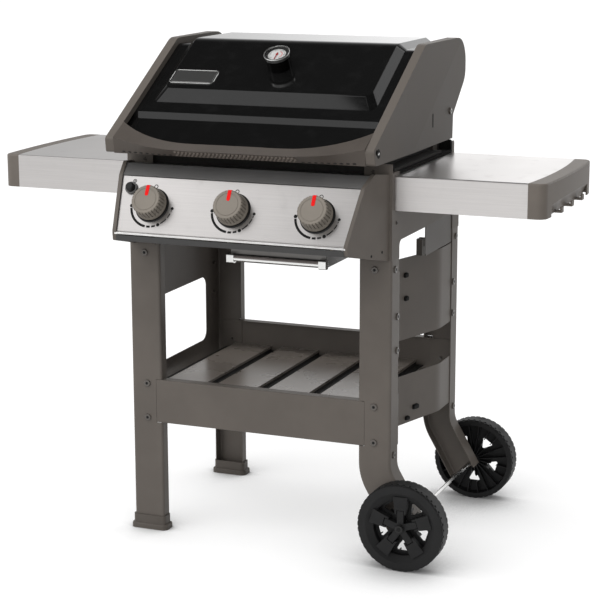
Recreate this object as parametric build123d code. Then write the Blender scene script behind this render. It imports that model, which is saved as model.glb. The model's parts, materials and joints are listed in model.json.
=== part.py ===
from build123d import *
import math
import os

# Gas barbecue grill on an open cart. Millimetres, X to the right, Y to the back, Z up from the floor.
# Each Y below is measured from the front face of the front legs. The last step moves the whole part
# so that its box is centred over the origin.

# Cart frame
cart_half = 320.0
cart_depth = 484.0
leg_top = 687.0
leg_face = 76.0
leg_side = 48.0
leg_lip = 27.0
leg_sheet = 2.0
leg_bend = 6.0
flange_taper_low = 205.0
flange_taper_high = 290.0

# Feet under the left legs
foot_floor = 14.0
foot_height = 33.0
foot_base = 13.0
foot_wall = 3.5
foot_flare = 5.0
foot_fit = 0.3
foot_round = 8.0

# Axle, wheels and the crank of the right legs
axle_overhang = 43.0
axle_radius = 4.8
running_fit = 0.05
wheel_radius = 100.0
wheel_width = 44.0
wheel_gap = 13.0
hub_gap = 0.5
crank_angle = 30.0
crank_radius = 95.0
axle_offset = 23.0
crank_tail = 22.0
axle_cap_radius = 9.0
axle_cap_length = 5.0
axle_cap_gap = 0.5

# Wheel moulding
tread_chamfer = 3.0
rim_face_inner = 81.0
rim_bevel_inner = 65.0
rim_bevel_depth = 10.0
rim_back_inner = 87.0
plate_low = 16.0
plate_thick = 4.0
spoke_count = 5
spoke_inner = 32.0
spoke_outer = 72.0
spoke_half_inner = 12.5
spoke_half_outer = 17.0
spoke_height = 41.0
spoke_slot_half = 9.0
spoke_slot_end = 41.0
bar_half = 7.5
bar_height = 40.0
hub_radius = 14.0
window_inner = 30.0
window_outer = 58.0
window_half = 16.0
rib_count = 20
rib_thick = 2.0
rib_low = 3.0
lug_count = 44
lug_width = 5.0
lug_depth = 1.6
lug_length = 10.0

# Shelf and its rails
rail_inset = 62.0
rail_low = 263.0
front_rail_high = 366.0
rear_rail_high = 409.0
rail_flange = 24.0
rail_tab = 46.0
rail_tab_margin = 5.0
notch_fit = 0.5
shelf_top = 345.0
shelf_sheet = 1.5
slat_count = 4
slat_gap = 28.0
slat_margin_left = 28.0
slat_margin_right = 20.0
groove_depth = 12.0
shelf_gap_left = 20.0
shelf_gap_right = 84.0

# Side frames, side panel and cylinder guards
frame_sheet = 2.0
frame_band_low = 726.0
frame_web_top = 880.0
frame_front_top = 900.0
frame_rear_top = 780.0
frame_shoulder = 862.0
frame_slope_start = 44.0
frame_post = 50.0
rear_post_width = 28.0
rear_post_high = 900.0
frame_flange = 65.0
frame_ledge = 34.0
tongue_drop = 42.0
tongue_overlap = 13.0
tongue_inset = 8.0
frame_corner = 14.0
panel_sheet = 1.5
panel_low = 300.0
panel_margin = 10.0
window_low = 369.0
window_high = 531.0
window_front = 74.0
window_rear = 404.0
window_round = 24.0
guard_margin = 12.0
guard_turn_front = 64.0
guard_deep_front = 92.0
guard_deep_rear = 180.0
guard_turn_rear = 132.0
guard_bow_front = 48.0
guard_bow_rear = 52.0
guard_bends = (14.0, 40.0, 150.0, 100.0)
guard_upper_low = 461.0
guard_upper_high = 654.0
guard_lower_low = 258.0
guard_lower_high = 375.0
hanger_low = 657.0
hanger_high = 750.0
hanger_reach = 244.0
hanger_hook = 14.0
hanger_hook_length = 26.0
hanger_hook_low = 662.0
hanger_hook_high = 700.0
hanger_notch_front = 0.3
hanger_notch_rear = 0.6
hanger_slots = 4
hanger_slot = 2.5

# Bolts on the cart
bolt_head = 8.0
bolt_head_height = 3.5
bolt_socket = 3.0
bolt_socket_depth = 1.8
bolt_shank = 3.0
bolt_length = 10.0
bolt_fit = 0.2
bolt_inset = 39.0
bolt_top_z = 666.0
bolt_side_y = 22.0
guard_bolt_y = 38.0
guard_bolt_heights = (557.0, 480.0)
lower_bolt_z = 243.0

# Side tables
table_front = 16.0
table_depth = 407.0
table_top_z = 873.0
table_apron = 76.0
table_steel_length = 296.0
table_end_length = 335.0
table_bow = 7.0
steel_bow = 12.0
table_sheet = 1.5
table_edge = 3.0
end_corner = 20.0
end_edge = 4.0
end_wall = 3.5
end_roof = 5.0
scoop_radius = 40.0
scoop_inset = 44.0
scoop_depth = 15.0
hook_count = 3
hook_pitch = 92.0
hook_width = 18.0
hook_reach = 17.0
hook_thick = 4.0
hook_lip = 12.0
bracket_width = 25.0
bracket_height = 50.0
bracket_inset = 45.0
bracket_end_gap = 4.0

# Cook box and what is in it
box_gap = 37.0
box_front = 12.0
box_rear = 440.0
box_rim = 900.0
box_shoulder = 750.0
box_floor = 700.0
box_floor_half = 150.0
box_floor_inset = 78.0
box_wall = 4.0
box_ledge_gap = 6.0
box_ledge_thick = 6.0
box_ledge_front = 30.0
box_ledge_rear = 360.0
drain_half_x = 60.0
drain_half_y = 40.0
bar_ledge_z = 815.0
grate_ledge_z = 866.0
inner_ledge = 13.0
inner_ledge_thick = 4.0
burner_radius = 12.5
burner_wall = 1.2
burner_hole_fit = 0.5
heat_bar_count = 5
heat_bar_pitch = 108.0
heat_bar_half = 30.0
heat_bar_rise = 34.0
heat_bar_sheet = 1.5
lift_gap = 1.5
seat_gap = 0.1
grate_thick = 12.0
grate_bar = 7.0
grate_bars = 13
grate_split = 2.0
rack_front = 280.0
rack_rear = 366.0
rack_z = 985.0
rack_wire = 2.5
rack_leg = 3.0
rack_rail = 3.6
rack_wires = 7
rack_inset = 2.0

# Control panel, a leaning fascia between two end caps
fascia_y = -124.6
fascia_z = 799.3
fascia_lean = 29.8
fascia_high = 134.8
fascia_sheet = 1.2
fascia_return = 12.0
fascia_bend = 4.0
cap_gap = 7.0
cap_toe = 0.22
cap_wall = 9.0
top_rail_rear = 874.0
top_rail_crest_y = -56.0
top_rail_crest_z = 881.0
top_rail_drop = 5.0
skirt_sheet = 1.5
skirt_front_z = 722.0
skirt_rear_z = 690.0
skirt_gap = 4.0

# Knobs, valves and gas pipe
knob_pitch = 196.0
knob_base_radius = 37.0
knob_waist_radius = 35.5
knob_face_radius = 31.5
knob_low = 6.5
knob_high = 38.0
knob_skirt = 8.0
knob_edge = 2.5
knob_ring_radius = 26.0
knob_ring = 1.2
knob_ring_depth = 0.6
knob_grooves = 28
knob_groove = 2.0
bezel_radius = 40.0
bezel_height = 3.0
stem_radius = 4.0
stem_tip = 24.0
stem_root = 34.0
stem_hole = 7.0
tip_gap = 0.3
valve_radius = 11.0
valve_near = 20.0
valve_far = 58.0
valve_bore_end = 42.0
pipe_depth = 66.0
pipe_radius = 9.5
pipe_left = -220.0
pipe_right = 258.0
inlet_radius = 13.0
inlet_length = 18.0
inlet_bore = 6.0
pipe_bracket_x = 98.0
pipe_bracket_half = 10.0
pipe_bracket_thick = 8.0
nozzle_radius = 4.0
burner_mouth = -46.0
nozzle_in = 6.0

# Igniter
igniter_inset = 65.0
igniter_up = 37.0
igniter_radius = 10.0
igniter_fit = 0.3
igniter_collar = 14.0
igniter_collar_height = 5.0
igniter_depth = 24.0
igniter_high = 16.0
igniter_low = 10.0

# Lid
lid_overhang = 5.0
lid_cap_width = 28.0
lid_cap_plate = 3.5
lid_cap_stand = 14.0
lid_low = 909.0
lid_front_low_y = -104.0
lid_front_y = -111.0
lid_front_z = 942.0
lid_slope = 30.4
lid_high = 1140.0
lid_rear_y = 504.0
lid_rear_knee_z = 1045.0
lid_tail_y = 411.0
lid_tail_z = 965.0
lid_tail_low_y = 408.0
lid_round_top = 50.0
lid_round_rear = 60.0
lid_round_knee = 45.0
lid_round_small = 8.0
lid_toe = 3.0
lid_toe_room = 9.0
lid_facet_y = 121.0
lid_facet_slope = 32.7
lid_slot_y = 259.5
lid_slot_low = 951.0
lid_slot_high = 981.0
lid_slot_width = 3.0
lid_slot_depth = 1.5
lid_screw_y = -95.0
lid_screw_z = 937.0
lid_screw_radius = 6.0
lid_screw_depth = 10.0
shroud_sheet = 2.0
shroud_step = 8.0
shroud_foot_s = 0.0
band_low_s = 105.0
band_high_s = 119.5
shroud_end_share = 0.7
press_inset = 57.0
press_side = 18.0
press_round = 31.0
press_foot_s = 157.0
press_crest_s = 193.0
hinge_y = 386.0
hinge_z = 975.0
hinge_pin = 5.0
hinge_plate = 6.0
hinge_plate_front = 372.0
hinge_plate_rear = 404.0
hinge_plate_low = 830.0
hinge_plate_high = 989.0
hinge_head = 8.0
hinge_head_length = 3.0
hinge_head_gap = 0.4

# Lid handle moulding
crease_mid_y = -130.0
crease_mid_z = 924.0
crease_end_z = 945.0
handle_low_y = -106.0
handle_low = 908.6
handle_foot = 8.0
handle_back_rise = 12.0
handle_stations = 11
smile_end_s = 62.0
smile_mid_s = -6.0
smile_flat = 110.0

# Thermometer on the lid
gauge_s = 289.0
gauge_body = 27.0
gauge_bezel = 30.0
gauge_bezel_low = 27.0
gauge_high = 38.0
gauge_recess = 26.5
gauge_recess_low = 32.0
gauge_fit = 0.1
dial_thick = 1.0
glass_low = 36.4
glass_thick = 1.2
pointer_low = 33.8
pointer_thick = 0.8
pointer_length = 19.0
pointer_tail = 6.0
pointer_half = 1.2
pointer_hub = 3.0
spindle_radius = 1.0
spindle_low = 12.0
probe_radius = 4.0
probe_length = 70.0
probe_fit = 0.2

# Grease tray
tray_half = 118.0
tray_shift = 11.0
tray_front = 96.0
tray_rear = 334.0
tray_low = 640.0
tray_high = 683.0
tray_sheet = 1.2
tray_flange = 8.0
tray_lift = 0.3
tray_side_gap = 1.0
rail_sheet = 1.5
rail_ledge = 7.0
rail_top_flange = 14.0
rail_front = 100.0
rail_rear = 350.0
pan_gap = 16.0
pan_high = 672.0
pan_wall = 1.0
handle_end_half = 9.0
handle_end_x = 114.0
handle_end_depth = 16.0
handle_end_low = 639.0
handle_end_high = 661.0
handle_bar_radius = 7.5

# Values worked out from the ones above
axle_x = cart_half + axle_overhang
rail_half = cart_half - rail_inset
shelf_left = shelf_gap_left - cart_half
shelf_right = cart_half - shelf_gap_right
slat_first = shelf_left + slat_margin_left
slat_run = shelf_right - slat_margin_right - slat_first
slat_width = (slat_run - slat_gap * (slat_count - 1)) / slat_count
bolt_x = cart_half - bolt_inset
table_steel_x = cart_half + table_steel_length
table_end_x = cart_half + table_end_length
box_half = cart_half - box_gap
box_ledge_out = cart_half - box_ledge_gap
cap_rear_x = cart_half - cap_gap
igniter_x = igniter_inset - cart_half
lid_half = cart_half + lid_overhang
press_half = lid_half - press_inset
rear_post_rear = cart_depth - frame_slope_start
rear_post_front = rear_post_rear - rear_post_width
wall_x = cart_half - leg_sheet
leg_mid = cart_half - leg_face / 2
crank = math.radians(crank_angle)
crank_corner_z = wheel_radius + (axle_x - axle_offset - leg_mid) / math.tan(crank)
axle_front = -wheel_gap - wheel_width - axle_cap_gap - axle_cap_length
axle_rear = cart_depth - axle_front
table_rear = table_front + table_depth
table_low_z = table_top_z - table_apron
fascia_half = fascia_high / 2
lean = math.radians(fascia_lean)
fascia_out = (0, -math.cos(lean), math.sin(lean))
fascia_up = (0, math.sin(lean), math.cos(lean))
fascia_plane = Plane(origin=(0, fascia_y, fascia_z), x_dir=(1, 0, 0), z_dir=fascia_out)
slope = math.radians(lid_slope)
slope_along = (math.cos(slope), math.sin(slope))
slope_out = (-math.sin(slope), math.cos(slope))
slope_plane = Plane(origin=(0, lid_front_y, lid_front_z), x_dir=(1, 0, 0), z_dir=(0, *slope_out))
lid_inner = lid_half - lid_cap_width
knob_places = {"left": -knob_pitch, "middle": 0.0, "right": knob_pitch}
burner_z = fascia_z - math.sin(lean) * (valve_near + valve_far) / 2
fascia_front_y = fascia_y - fascia_up[1] * fascia_half - cap_wall
knob_front_y = fascia_y + fascia_out[1] * knob_high - fascia_up[1] * knob_face_radius
y_centre = (knob_front_y + axle_rear) / 2


def prism_x(points, x_low, x_high, radii=0):
    """Solid with a side outline of (y, z) points, from x_low to x_high."""
    outline = FilletPolyline(*[(x_low, y, z) for y, z in points], radius=radii, close=True)
    return extrude(make_face(outline), amount=x_high - x_low, dir=(1, 0, 0))


def prism_y(points, y_low, y_high, radii=0):
    """Solid with a front outline of (x, z) points, from y_low to y_high."""
    outline = FilletPolyline(*[(x, y_low, z) for x, z in points], radius=radii, close=True)
    return extrude(make_face(outline), amount=y_high - y_low, dir=(0, 1, 0))


def prism_z(points, z_low, z_high, radii=0):
    """Solid with a plan outline of (x, y) points, from z_low to z_high."""
    outline = FilletPolyline(*[(x, y, z_low) for x, y in points], radius=radii, close=True)
    return extrude(make_face(outline), amount=z_high - z_low, dir=(0, 0, 1))


def block(x_low, x_high, y_low, y_high, z_low, z_high):
    """Box between two corners."""
    middle = Pos((x_low + x_high) / 2, (y_low + y_high) / 2, (z_low + z_high) / 2)
    return middle * Box(x_high - x_low, y_high - y_low, z_high - z_low)


def rod(start, end, radius):
    """Round bar between two points."""
    run = Vector(*end) - Vector(*start)
    place = Plane(origin=start, z_dir=run)
    return place * Cylinder(radius, run.length, align=(Align.CENTER, Align.CENTER, Align.MIN))


def post(radius, low, high):
    """Upright cylinder about the local Z axis."""
    return Pos(0, 0, low) * Cylinder(radius, high - low, align=(Align.CENTER, Align.CENTER, Align.MIN))


def shifted(points, distance, closed=False):
    """Points moved to the left of their path by a distance, with mitred corners."""
    count = len(points)
    moved = []
    for i, (u, v) in enumerate(points):
        before = points[i - 1] if closed or i > 0 else None
        after = points[(i + 1) % count] if closed or i < count - 1 else None
        normals = []
        for a, b in ((before, (u, v)), ((u, v), after)):
            if a is not None and b is not None:
                length = math.hypot(b[0] - a[0], b[1] - a[1])
                normals.append((-(b[1] - a[1]) / length, (b[0] - a[0]) / length))
        first, last = normals[0], normals[-1]
        share = distance / (1 + first[0] * last[0] + first[1] * last[1])
        moved.append((u + (first[0] + last[0]) * share, v + (first[1] + last[1]) * share))
    return moved


def folded(points, thickness):
    """Closed outline of a bent sheet whose outside follows the points, thickness to the left."""
    return list(points) + shifted(points, thickness)[::-1]


def bend_radii(outside, thickness):
    """Corner radii of a folded outline from the outside radius of each bend, none at its two ends."""
    inside = [max(r - thickness, 0) for r in outside]
    return [0, *outside, 0, 0, *inside[::-1], 0]


def across(shape):
    """Mirror copy on the other side of the grill."""
    return mirror(shape, about=Plane.YZ)


def to_rear(shape):
    """Mirror copy at the rear of the cart."""
    return Pos(0, cart_depth, 0) * mirror(shape, about=Plane.XZ)


def group(solids):
    """Several separate solids in one node."""
    return Compound(children=[solid for shape in solids for solid in shape.solids()])


def bolt_spots():
    """Places and outward directions of the cart's bolts."""
    spots = []
    rail_margin = (front_rail_high - rail_low) / 10
    heights = (bolt_top_z, front_rail_high - rail_margin, rail_low + rail_margin)
    for x in (-bolt_x, bolt_x):
        for z in heights:
            spots.append(((x, 0, z), (0, -1, 0)))
            spots.append(((x, cart_depth, z), (0, 1, 0)))
    for z in guard_bolt_heights:
        for x in (-cart_half, cart_half):
            spots.append(((x, guard_bolt_y, z), (x / cart_half, 0, 0)))
            spots.append(((x, cart_depth - guard_bolt_y, z), (x / cart_half, 0, 0)))
    for x in (-cart_half, cart_half):
        spots.append(((x, bolt_side_y, bolt_top_z), (x / cart_half, 0, 0)))
        spots.append(((x, cart_depth - bolt_side_y, bolt_top_z), (x / cart_half, 0, 0)))
    spots.append(((cart_half, bolt_side_y, lower_bolt_z), (1, 0, 0)))
    spots.append(((cart_half, cart_depth - bolt_side_y, lower_bolt_z), (1, 0, 0)))
    return spots


def bolt_holes():
    """Clearance holes through the sheets that the bolts hold."""
    holes = []
    for place, out in bolt_spots():
        inward = [p - o * bolt_length for p, o in zip(place, out)]
        holes.append(rod(place, inward, bolt_shank + bolt_fit))
    return holes


def frame_bolts():
    """Domed bolts that hold rails, panels and guards to the legs."""
    bolts = []
    for place, out in bolt_spots():
        head = Plane(origin=place, z_dir=out) * post(bolt_head, 0, bolt_head_height)
        rim = head.edges().filter_by(GeomType.CIRCLE).sort_by_distance(place)[-1]
        head = fillet(rim, bolt_head_height / 2)
        socket = RegularPolygon(bolt_socket, 6)
        top = Plane(origin=place, z_dir=out) * Pos(0, 0, bolt_head_height)
        head -= top * extrude(socket, -bolt_socket_depth)
        inward = [p - o * bolt_length for p, o in zip(place, out)]
        bolts.append(head + rod(place, inward, bolt_shank))
    return group(bolts)


def leg_outline():
    """Plan of the front left leg, a pressed channel that is open to the back."""
    outside = [(-cart_half, leg_side), (-cart_half, 0), (leg_face - cart_half, 0),
               (leg_face - cart_half, leg_lip)]
    return folded(outside, leg_sheet), bend_radii([leg_bend, leg_bend], leg_sheet)


def leg_notch(rail_high):
    """Space at the inner front corner of the left leg for the end of a shelf rail."""
    return block(-rail_half - notch_fit, leg_face - cart_half + notch_fit, -notch_fit, leg_lip + notch_fit,
                 rail_low - notch_fit, rail_high + notch_fit)


def straight_leg(rail_high):
    """Left leg, standing in its foot."""
    points, radii = leg_outline()
    taper = prism_x([(leg_lip, 0), (leg_side + leg_sheet, 0), (leg_side + leg_sheet, flange_taper_high),
                     (leg_lip, flange_taper_low)], -cart_half - leg_sheet, leg_sheet - wall_x)
    return prism_z(points, foot_floor, leg_top, radii) - leg_notch(rail_high) - taper


def cranked_leg(rail_high):
    """Right leg, bent out at the bottom to carry the axle."""
    points, radii = leg_outline()
    outline = FilletPolyline(*[(-x, y, leg_top) for x, y in points], radius=radii, close=True)
    tail_x = axle_x - axle_offset + crank_tail * math.sin(crank)
    tail_z = wheel_radius - crank_tail * math.cos(crank)
    path = FilletPolyline((leg_mid, 0, leg_top), (leg_mid, 0, crank_corner_z), (tail_x, 0, tail_z),
                          radius=[crank_radius])
    leg = sweep(make_face(outline), path=path)
    axle_hole = rod((axle_x, -leg_sheet, wheel_radius), (axle_x, leg_side, wheel_radius),
                    axle_radius + running_fit)
    return leg - across(leg_notch(rail_high)) - axle_hole


def foot():
    """Moulded foot with a pocket for the front left leg and a flared base."""
    x_low, x_high = -cart_half - foot_wall, leg_face - cart_half + foot_wall
    y_low, y_high = -foot_wall, leg_lip + foot_wall
    flare = foot_flare
    upper = block(x_low, x_high, y_low, y_high, 0, foot_height)
    base = block(x_low - flare, x_high + flare, y_low - flare, y_high + flare, 0, foot_base)
    upper = fillet(upper.edges().filter_by(Axis.Z), foot_round)
    base = fillet(base.edges().filter_by(Axis.Z), foot_round + flare)
    base = fillet(base.edges().group_by(Axis.Z)[-1], flare - foot_fit)
    left, right = -cart_half - foot_fit, leg_face - cart_half + foot_fit
    front, rear = -foot_fit, leg_lip + foot_fit
    turn = leg_bend + foot_fit
    pocket = prism_z([(left, front), (right, front), (right, rear), (left, rear)], foot_floor, foot_height,
                     [turn, turn, 0, 0])
    return upper + base - pocket


def shelf_rail(rail_high):
    """Front shelf rail, a channel with a tab behind each leg. The rear rail mirrors it."""
    outside = [(rail_flange, rail_low), (0, rail_low), (0, rail_high), (rail_flange, rail_high)]
    points = folded(outside[::-1], leg_sheet)
    radii = bend_radii([leg_sheet, leg_sheet], leg_sheet)
    rail = prism_x(points, -rail_half, rail_half, radii)
    tab = block(-rail_half - rail_tab, rail_tab_margin - rail_half, leg_sheet, 2 * leg_sheet,
                rail_low + rail_tab_margin, rail_high - rail_tab_margin)
    return rail + tab + across(tab)


def bottom_shelf():
    """Pressed shelf with flat slats and lower grooves between them."""
    groove_z = shelf_top - groove_depth
    points = [(shelf_left, groove_z)]
    for i in range(slat_count):
        low_x = slat_first + i * (slat_width + slat_gap)
        high_x = low_x + slat_width
        points += [(low_x, groove_z), (low_x, shelf_top), (high_x, shelf_top), (high_x, groove_z)]
    points.append((shelf_right, groove_z))
    shelf = prism_y(folded(points, -shelf_sheet), leg_sheet, cart_depth - leg_sheet)
    room = block(-cart_half, rail_tab_margin - rail_half + notch_fit, 0, 2 * leg_sheet,
                 rail_low, rear_rail_high)
    return shelf - room - to_rear(room)


def side_frame():
    """Right upper frame that carries the cook box, with front and rear posts and a ledge."""
    web_points = [(0, leg_top), (frame_post, leg_top), (frame_post, frame_band_low),
                  (cart_depth - frame_post, frame_band_low), (cart_depth - frame_post, leg_top),
                  (cart_depth, leg_top), (cart_depth, frame_rear_top), (rear_post_rear, frame_shoulder),
                  (rear_post_rear, rear_post_high), (rear_post_front, rear_post_high),
                  (rear_post_front, frame_web_top), (0, frame_web_top)]
    post_round = rear_post_width / 4
    web_radii = [0, 0, frame_corner, frame_corner, 0, 0, 0, 0, post_round, post_round, 0, 0]
    web = prism_x(web_points, wall_x, cart_half, web_radii)
    inner = cart_half - frame_flange
    front = block(inner, cart_half, 0, frame_sheet, leg_top, frame_front_top)
    rear = block(inner, cart_half, cart_depth - frame_sheet, cart_depth, leg_top, frame_rear_top)
    ledge = block(cart_half - frame_ledge, cart_half, 0, rear_post_front,
                  frame_web_top - frame_sheet, frame_web_top)
    tongue = block(inner + tongue_inset, cart_half - tongue_inset, frame_sheet, 2 * frame_sheet,
                   leg_top - tongue_drop, leg_top + tongue_overlap)
    return web + front + rear + ledge + tongue + to_rear(tongue)


def side_panel():
    """Left side panel with its window, held inside the outer flanges of the legs."""
    x_low = -wall_x
    sheet = block(x_low, x_low + panel_sheet, panel_margin, cart_depth - panel_margin, panel_low, leg_top)
    window = prism_x([(window_front, window_low), (window_rear, window_low),
                      (window_rear, window_high), (window_front, window_high)],
                     x_low - panel_sheet, x_low + 2 * panel_sheet, window_round)
    return sheet - window


def cylinder_guard(z_low, z_high):
    """Sheet bowed inwards between the right legs, so that a gas bottle can hang outside it."""
    outside = [(wall_x, guard_margin), (wall_x, guard_turn_front),
               (wall_x - guard_bow_front, guard_deep_front),
               (wall_x - guard_bow_rear, guard_deep_rear), (wall_x, cart_depth - guard_turn_rear),
               (wall_x, cart_depth - guard_margin)]
    return prism_z(folded(outside, panel_sheet), z_low, z_high, bend_radii(guard_bends, panel_sheet))


def cylinder_hanger():
    """Bracket on the rear right leg with a hook for the gas bottle."""
    front, rear = cart_depth - hanger_reach, cart_depth - panel_margin
    plate = block(wall_x - panel_sheet, wall_x, front, rear, hanger_low, leg_top)
    rise = block(wall_x - panel_sheet, wall_x, front, cart_depth - frame_post - panel_sheet,
                 hanger_low, hanger_high)
    hook_front = front - hanger_hook_length
    hook_x = wall_x - hanger_hook
    middle = (hanger_hook_low + hanger_hook_high) / 2
    notch_front = hook_front + hanger_notch_front * hanger_hook_length
    notch_rear = hook_front + hanger_notch_rear * hanger_hook_length
    hook = prism_x([(hook_front, hanger_hook_low), (front, hanger_hook_low), (front, hanger_hook_high),
                    (notch_rear, hanger_hook_high), (notch_rear, middle), (notch_front, middle),
                    (notch_front, hanger_hook_high), (hook_front, hanger_hook_high)], hook_x, wall_x)
    pitch = hanger_hook_length / hanger_slots
    for i in range(hanger_slots):
        y = hook_front + (i + 0.5) * pitch
        hook -= block(wall_x - hanger_slot, wall_x, y - hanger_slot / 2, y + hanger_slot / 2,
                      hanger_hook_low, hanger_hook_high)
    return plate + rise + hook


def wheel():
    """Moulded wheel on the local Z axis: lugged tread, dished rim and five split spokes."""
    radius, width = wheel_radius, wheel_width
    plate_high = plate_low + plate_thick
    rim_points = [(rim_back_inner, 0), (radius - tread_chamfer, 0), (radius, tread_chamfer),
                  (radius, width - tread_chamfer), (radius - tread_chamfer, width),
                  (rim_face_inner, width), (rim_bevel_inner, width - rim_bevel_depth),
                  (rim_bevel_inner, plate_low), (rim_back_inner - tread_chamfer, plate_low)]
    rim_face = make_face(Polyline(*[(r, 0, z) for r, z in rim_points], close=True))
    body = revolve(rim_face, axis=Axis.Z)
    body += post(rim_bevel_inner + tread_chamfer, plate_low, plate_high)
    body += post(hub_radius, hub_gap - wheel_gap, bar_height)
    spoke_points = [(spoke_inner, -spoke_half_inner), (spoke_outer, -spoke_half_outer),
                    (spoke_outer, spoke_half_outer), (spoke_inner, spoke_half_inner),
                    (spoke_inner, spoke_slot_half), (spoke_slot_end, spoke_slot_half),
                    (spoke_slot_end, -spoke_slot_half), (spoke_inner, -spoke_slot_half)]
    spoke = prism_z(spoke_points, plate_low, spoke_height)
    bar = block(0, spoke_slot_end - spoke_slot_half + bar_half, -bar_half, bar_half, plate_low, bar_height)
    window = prism_z([(window_inner, 0), (window_outer, -window_half), (window_outer, window_half)],
                     0, width, bar_half / 2)
    rib = block(hub_radius / 2, rim_back_inner + tread_chamfer / 2, -rib_thick / 2, rib_thick / 2,
                rib_low, plate_high)
    lug = block(radius - lug_depth, radius + lug_depth, -lug_width / 2, lug_width / 2, 0, lug_length)
    step = 360 / spoke_count
    windows = [Rot(0, 0, (i + 0.5) * step) * window for i in range(spoke_count)]
    for i in range(rib_count):
        body += Rot(0, 0, (i + 0.5) * 360 / rib_count) * rib
    body -= windows
    for i in range(spoke_count):
        body += Rot(0, 0, i * step) * (spoke + bar)
    lug_step = 360 / lug_count
    lugs = [Rot(0, 0, i * lug_step) * lug for i in range(lug_count)]
    lugs += [Pos(0, 0, width - lug_length) * Rot(0, 0, (i + 0.5) * lug_step) * lug for i in range(lug_count)]
    body -= lugs
    return body - post(axle_radius + running_fit, -wheel_gap, width)


def front_wheel():
    """Front wheel, outer face to the front."""
    spin = Rot(0, 0, 90)
    front = Plane(origin=(axle_x, -wheel_gap, wheel_radius), x_dir=(1, 0, 0), z_dir=(0, -1, 0))
    return front * spin * wheel()


def rear_wheel():
    """Rear wheel, outer face to the back."""
    spin = Rot(0, 0, -90)
    back = Plane(origin=(axle_x, cart_depth + wheel_gap, wheel_radius), x_dir=(1, 0, 0), z_dir=(0, 1, 0))
    return back * spin * wheel()


def axle():
    """Steel rod through both right legs and both wheels."""
    return rod((axle_x, axle_front, wheel_radius), (axle_x, axle_rear, wheel_radius), axle_radius)


def axle_caps():
    """Push-on caps that keep the wheels on the axle."""
    cap = rod((axle_x, axle_front, wheel_radius), (axle_x, axle_front + axle_cap_length, wheel_radius),
              axle_cap_radius)
    rim = cap.edges().filter_by(GeomType.CIRCLE).sort_by(Axis.Y)[0]
    cap = fillet(rim, axle_cap_length / 3) - axle()
    return group([cap, to_rear(cap)])


def table_top():
    """Right table: brushed sheet with folded aprons and a bowed outer edge."""
    outside = [(table_front, table_low_z), (table_front, table_top_z), (table_rear, table_top_z),
               (table_rear, table_low_z)]
    radii = bend_radii([table_edge, table_edge], table_sheet)
    sheet = prism_x(folded(outside, -table_sheet), cart_half, table_steel_x, radii)
    return sheet + bowed_edge(0)


def bowed_edge(gap):
    """Thin piece of the table top past the aprons, with an outer edge that bows out."""
    front, rear = table_front + table_edge - gap, table_rear - table_edge + gap
    curve = ThreePointArc((table_steel_x, front), (table_steel_x + steel_bow + gap, (front + rear) / 2),
                          (table_steel_x, rear))
    face = make_face((Curve() + [curve, Line(curve @ 1, curve @ 0)]).edges())
    return Pos(0, 0, table_top_z - table_sheet - gap) * extrude(face, amount=table_sheet + gap)


def end_outline(inset):
    """Plan of a table end, moved in by an inset: straight inside, bowed outside, round corners."""
    front, rear = table_front + inset, table_rear - inset
    outer = table_end_x - inset
    corner = end_corner - inset
    bow = ThreePointArc((outer, front + corner), (outer + table_bow, (front + rear) / 2),
                        (outer, rear - corner))
    start, finish = (table_steel_x, front), (table_steel_x, rear)
    turn = corner * (1 - math.sqrt(0.5))
    front_arc = ThreePointArc((outer - corner, front), (outer - turn, front + turn), bow @ 0)
    rear_arc = ThreePointArc(bow @ 1, (outer - turn, rear - turn), (outer - corner, rear))
    edges = [Line(start, front_arc @ 0), front_arc, bow, rear_arc, Line(rear_arc @ 1, finish),
             Line(finish, start)]
    return make_face((Curve() + edges).edges())


def table_end():
    """Right table's moulded end: hollow below, scooped outside, with tool hooks on its lower edge."""
    body = Pos(0, 0, table_low_z) * extrude(end_outline(0), amount=table_apron)
    top_edges = [e for e in body.edges().group_by(Axis.Z)[-1] if e.center().X > table_steel_x + end_edge]
    body = fillet(top_edges, end_edge)
    hollow = Pos(0, 0, table_low_z) * extrude(end_outline(end_wall), amount=table_apron - end_roof)
    middle = (table_front + table_rear) / 2
    scoop_x = table_end_x + table_bow + scoop_radius - scoop_depth
    scoop_front, scoop_rear = table_front + scoop_inset, table_rear - scoop_inset
    cutter = rod((scoop_x, scoop_front, table_low_z), (scoop_x, scoop_rear, table_low_z), scoop_radius)
    liner = rod((scoop_x, scoop_front, table_low_z), (scoop_x, scoop_rear, table_low_z),
                scoop_radius + end_wall)
    shell = body - hollow + (body & liner)
    shell -= cutter
    shell -= bowed_edge(running_fit)
    wall = scoop_x - scoop_radius - end_wall
    for i in range(hook_count):
        y = middle + (i - (hook_count - 1) / 2) * hook_pitch
        arm = block(wall, wall + end_wall + hook_reach, y - hook_width / 2, y + hook_width / 2,
                    table_low_z, table_low_z + hook_thick)
        lip = block(wall + end_wall + hook_reach - hook_thick, wall + end_wall + hook_reach,
                    y - hook_width / 2, y + hook_width / 2, table_low_z, table_low_z + hook_lip)
        shell += arm + lip
    return shell


def table_brackets():
    """Channels under both tables, bolted to the side frames."""
    top = table_top_z - table_sheet
    brackets = []
    for y in (table_front + bracket_inset, table_rear - bracket_inset - bracket_width):
        outside = [(y, top), (y, top - bracket_height), (y + bracket_width, top - bracket_height),
                   (y + bracket_width, top)]
        bar = prism_x(folded(outside, frame_sheet), cart_half, table_steel_x - bracket_end_gap)
        brackets += [bar, across(bar)]
    return group(brackets)


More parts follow.
